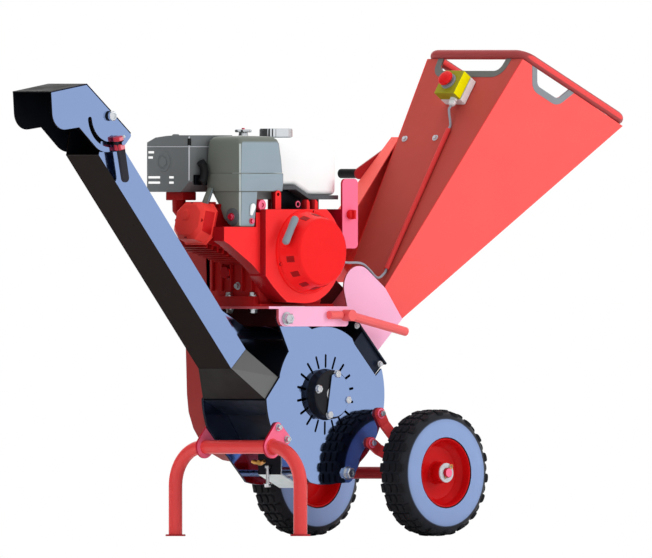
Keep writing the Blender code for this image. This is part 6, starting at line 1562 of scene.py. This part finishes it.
print("hopper's mouth:", round(mouth_length, 3), "by", 2 * MOUTH_HALF, "m")

# %% [markdown]
# The stop box: a white back and a yellow lid on the hopper's upper wall, with a red mushroom button
# that is pressed in. Its cable leaves through a white gland.

# %% Stop box
down_way = (from_rotor(THROAT_HIGH) - from_rotor(MOUTH_HIGH)).normalized()
wall_out = Vector((0, 1, 0)).cross(down_way)
STOP_DOWN, STOP_ASIDE, STOP_HALF, STOP_HEIGHT, LID_FROM = 0.103, -0.01, 0.034, 0.051, 0.0215


def on_wall(down, y, out):
    """World place on the hopper's upper wall."""
    return from_rotor(MOUTH_HIGH) + down_way * down + Vector((0, y, 0)) + wall_out * (WALL + out)


def stop_block(low, high):
    """A block standing on the upper wall, under the stop button."""
    mesh = block((-STOP_HALF, -STOP_HALF, low), (STOP_HALF, STOP_HALF, high))
    rows = [[down_way[i], NEAR_WAY[i], wall_out[i], on_wall(STOP_DOWN, STOP_ASIDE, 0)[i]] for i in range(3)]
    mesh.transform(Matrix((*rows, (0, 0, 0, 1))))
    return mesh


piece("stop_back", stop_block(0.0003, LID_FROM), STOP_WHITE, ("stop_box",), edge=0.0025, segments=3)
piece("stop_lid", stop_block(LID_FROM + 0.0004, STOP_HEIGHT), STOP_YELLOW, edge=0.0025, segments=3)
stop_seat = on_wall(STOP_DOWN, STOP_ASIDE, STOP_HEIGHT)
collar = lathe([(0.0106, 0), (0.0106, 0.0048), (0.0135, 0.0048), (0.015, 0.004), (0.0195, 0.004),
                (0.021, 0.003), (0.021, 0)], stop_seat, wall_out, 48)
piece("stop_collar", collar, TRIM_RUBBER)
STOP_BODY = nodes["stop_button"]["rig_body"]
button = lathe([(0, 0.023), (0.01, 0.0228), (0.016, 0.0215), (0.019, 0.019), (0.02, 0.016), (0.02, 0.0135),
                (0.0185, 0.0112), (0.012, 0.011), (0, 0.011)], stop_seat, wall_out, 56)
piece("stop_mushroom", button, STOP_RED, ("stop_button",), body=STOP_BODY)
piece("stop_stem", turned([(0.01, 0.012), (0.009, 0.0095), (0.009, 0.0063)], stop_seat, wall_out, 32),
      TRIM_RUBBER, body=STOP_BODY)
gland_foot = on_wall(STOP_DOWN + STOP_HALF, -0.027, 0.0258)
gland_tip = gland_foot + down_way * 0.02
gland = turned([(0.0048, 0.02), (0.007, 0.0185), (0.0088, 0.015), (0.0088, 0.008), (0.0076, 0.007),
                (0.0098, 0.006), (0.0098, 0.0002)], gland_foot, down_way, 24)
piece("stop_gland", gland, STOP_WHITE)
print("stop box:", 2 * STOP_HALF, "m square")

# %% [markdown]
# The cable runs from the gland through the conduit on the wall, and on to the engine's ignition. It is
# one curve, so its length is known.

# %% Stop cable
CABLE_RADIUS = 0.003
CURVE_STEPS = 8
conduit_top, conduit_end = on_wall(0.213, -0.0345, 0.0063), on_wall(0.63, -0.0555, 0.0063)
conduit_way = (conduit_end - conduit_top).normalized()
route = [gland_tip + down_way * 0.0003, gland_tip + down_way * 0.012, conduit_top - conduit_way * 0.012,
         conduit_top, conduit_top.lerp(conduit_end, 0.05), conduit_top.lerp(conduit_end, 0.5),
         conduit_top.lerp(conduit_end, 0.95), conduit_end, conduit_end + conduit_way * 0.012,
         from_axle(-0.03, -0.0575, 0.632), from_axle(-0.06, -0.06, 0.651), from_axle(-0.09, -0.068, 0.665),
         from_axle(-0.123, -0.079, 0.669), from_axle(-0.165, -0.091, 0.669),
         from_axle(-0.2, -0.0985, 0.672), from_axle(-0.2245, -0.1, 0.673)]


def curved(points):
    """A smooth path through all points."""
    ends = [points[0] * 2 - points[1], *points, points[-1] * 2 - points[-2]]
    path = []
    for a, b, c, d in zip(ends, ends[1:], ends[2:], ends[3:]):
        tight = (c - b).length / max((c - a).length, 1e-9)
        tight_next = (c - b).length / max((d - b).length, 1e-9)
        leave, arrive = (c - a) * tight, (d - b) * tight_next
        for step in range(CURVE_STEPS):
            t = step / CURVE_STEPS
            path.append(b * (2 * t ** 3 - 3 * t ** 2 + 1) + leave * (t ** 3 - 2 * t ** 2 + t)
                        + c * (3 * t ** 2 - 2 * t ** 3) + arrive * (t ** 3 - t ** 2))
    return path + [points[-1]]


cable_path = curved(route)
line = bpy.data.curves.new("stop_cable_line", "CURVE")
line.dimensions = "3D"
spline = line.splines.new("POLY")
spline.points.add(len(cable_path) - 1)
for point, spot in zip(spline.points, cable_path):
    point.co = (*spot, 1.0)
line.bevel_depth = CABLE_RADIUS
line.bevel_resolution = 4
line.use_fill_caps = True
line.materials.append(CABLE_SHEATH)
cable = bpy.data.objects.new("stop_cable_line", line)
scene.collection.objects.link(cable)
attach(cable, "chassis")
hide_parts("stop_cable")

# %% [markdown]
# Bolts with washers on the upper wall hold the brace behind it. They stand square on the leaning
# wall, because their direction is the wall's own.

# %% Wall bolts
for index, (down, y) in enumerate(((0.2384, 0.1074), (0.2355, 0.0035))):
    set_bolt(f"wall_bolt_{index + 1}", on_wall(down, y, 0.0001), wall_out, PALE_GREY, 0.01, 0.0045, 0.0085)
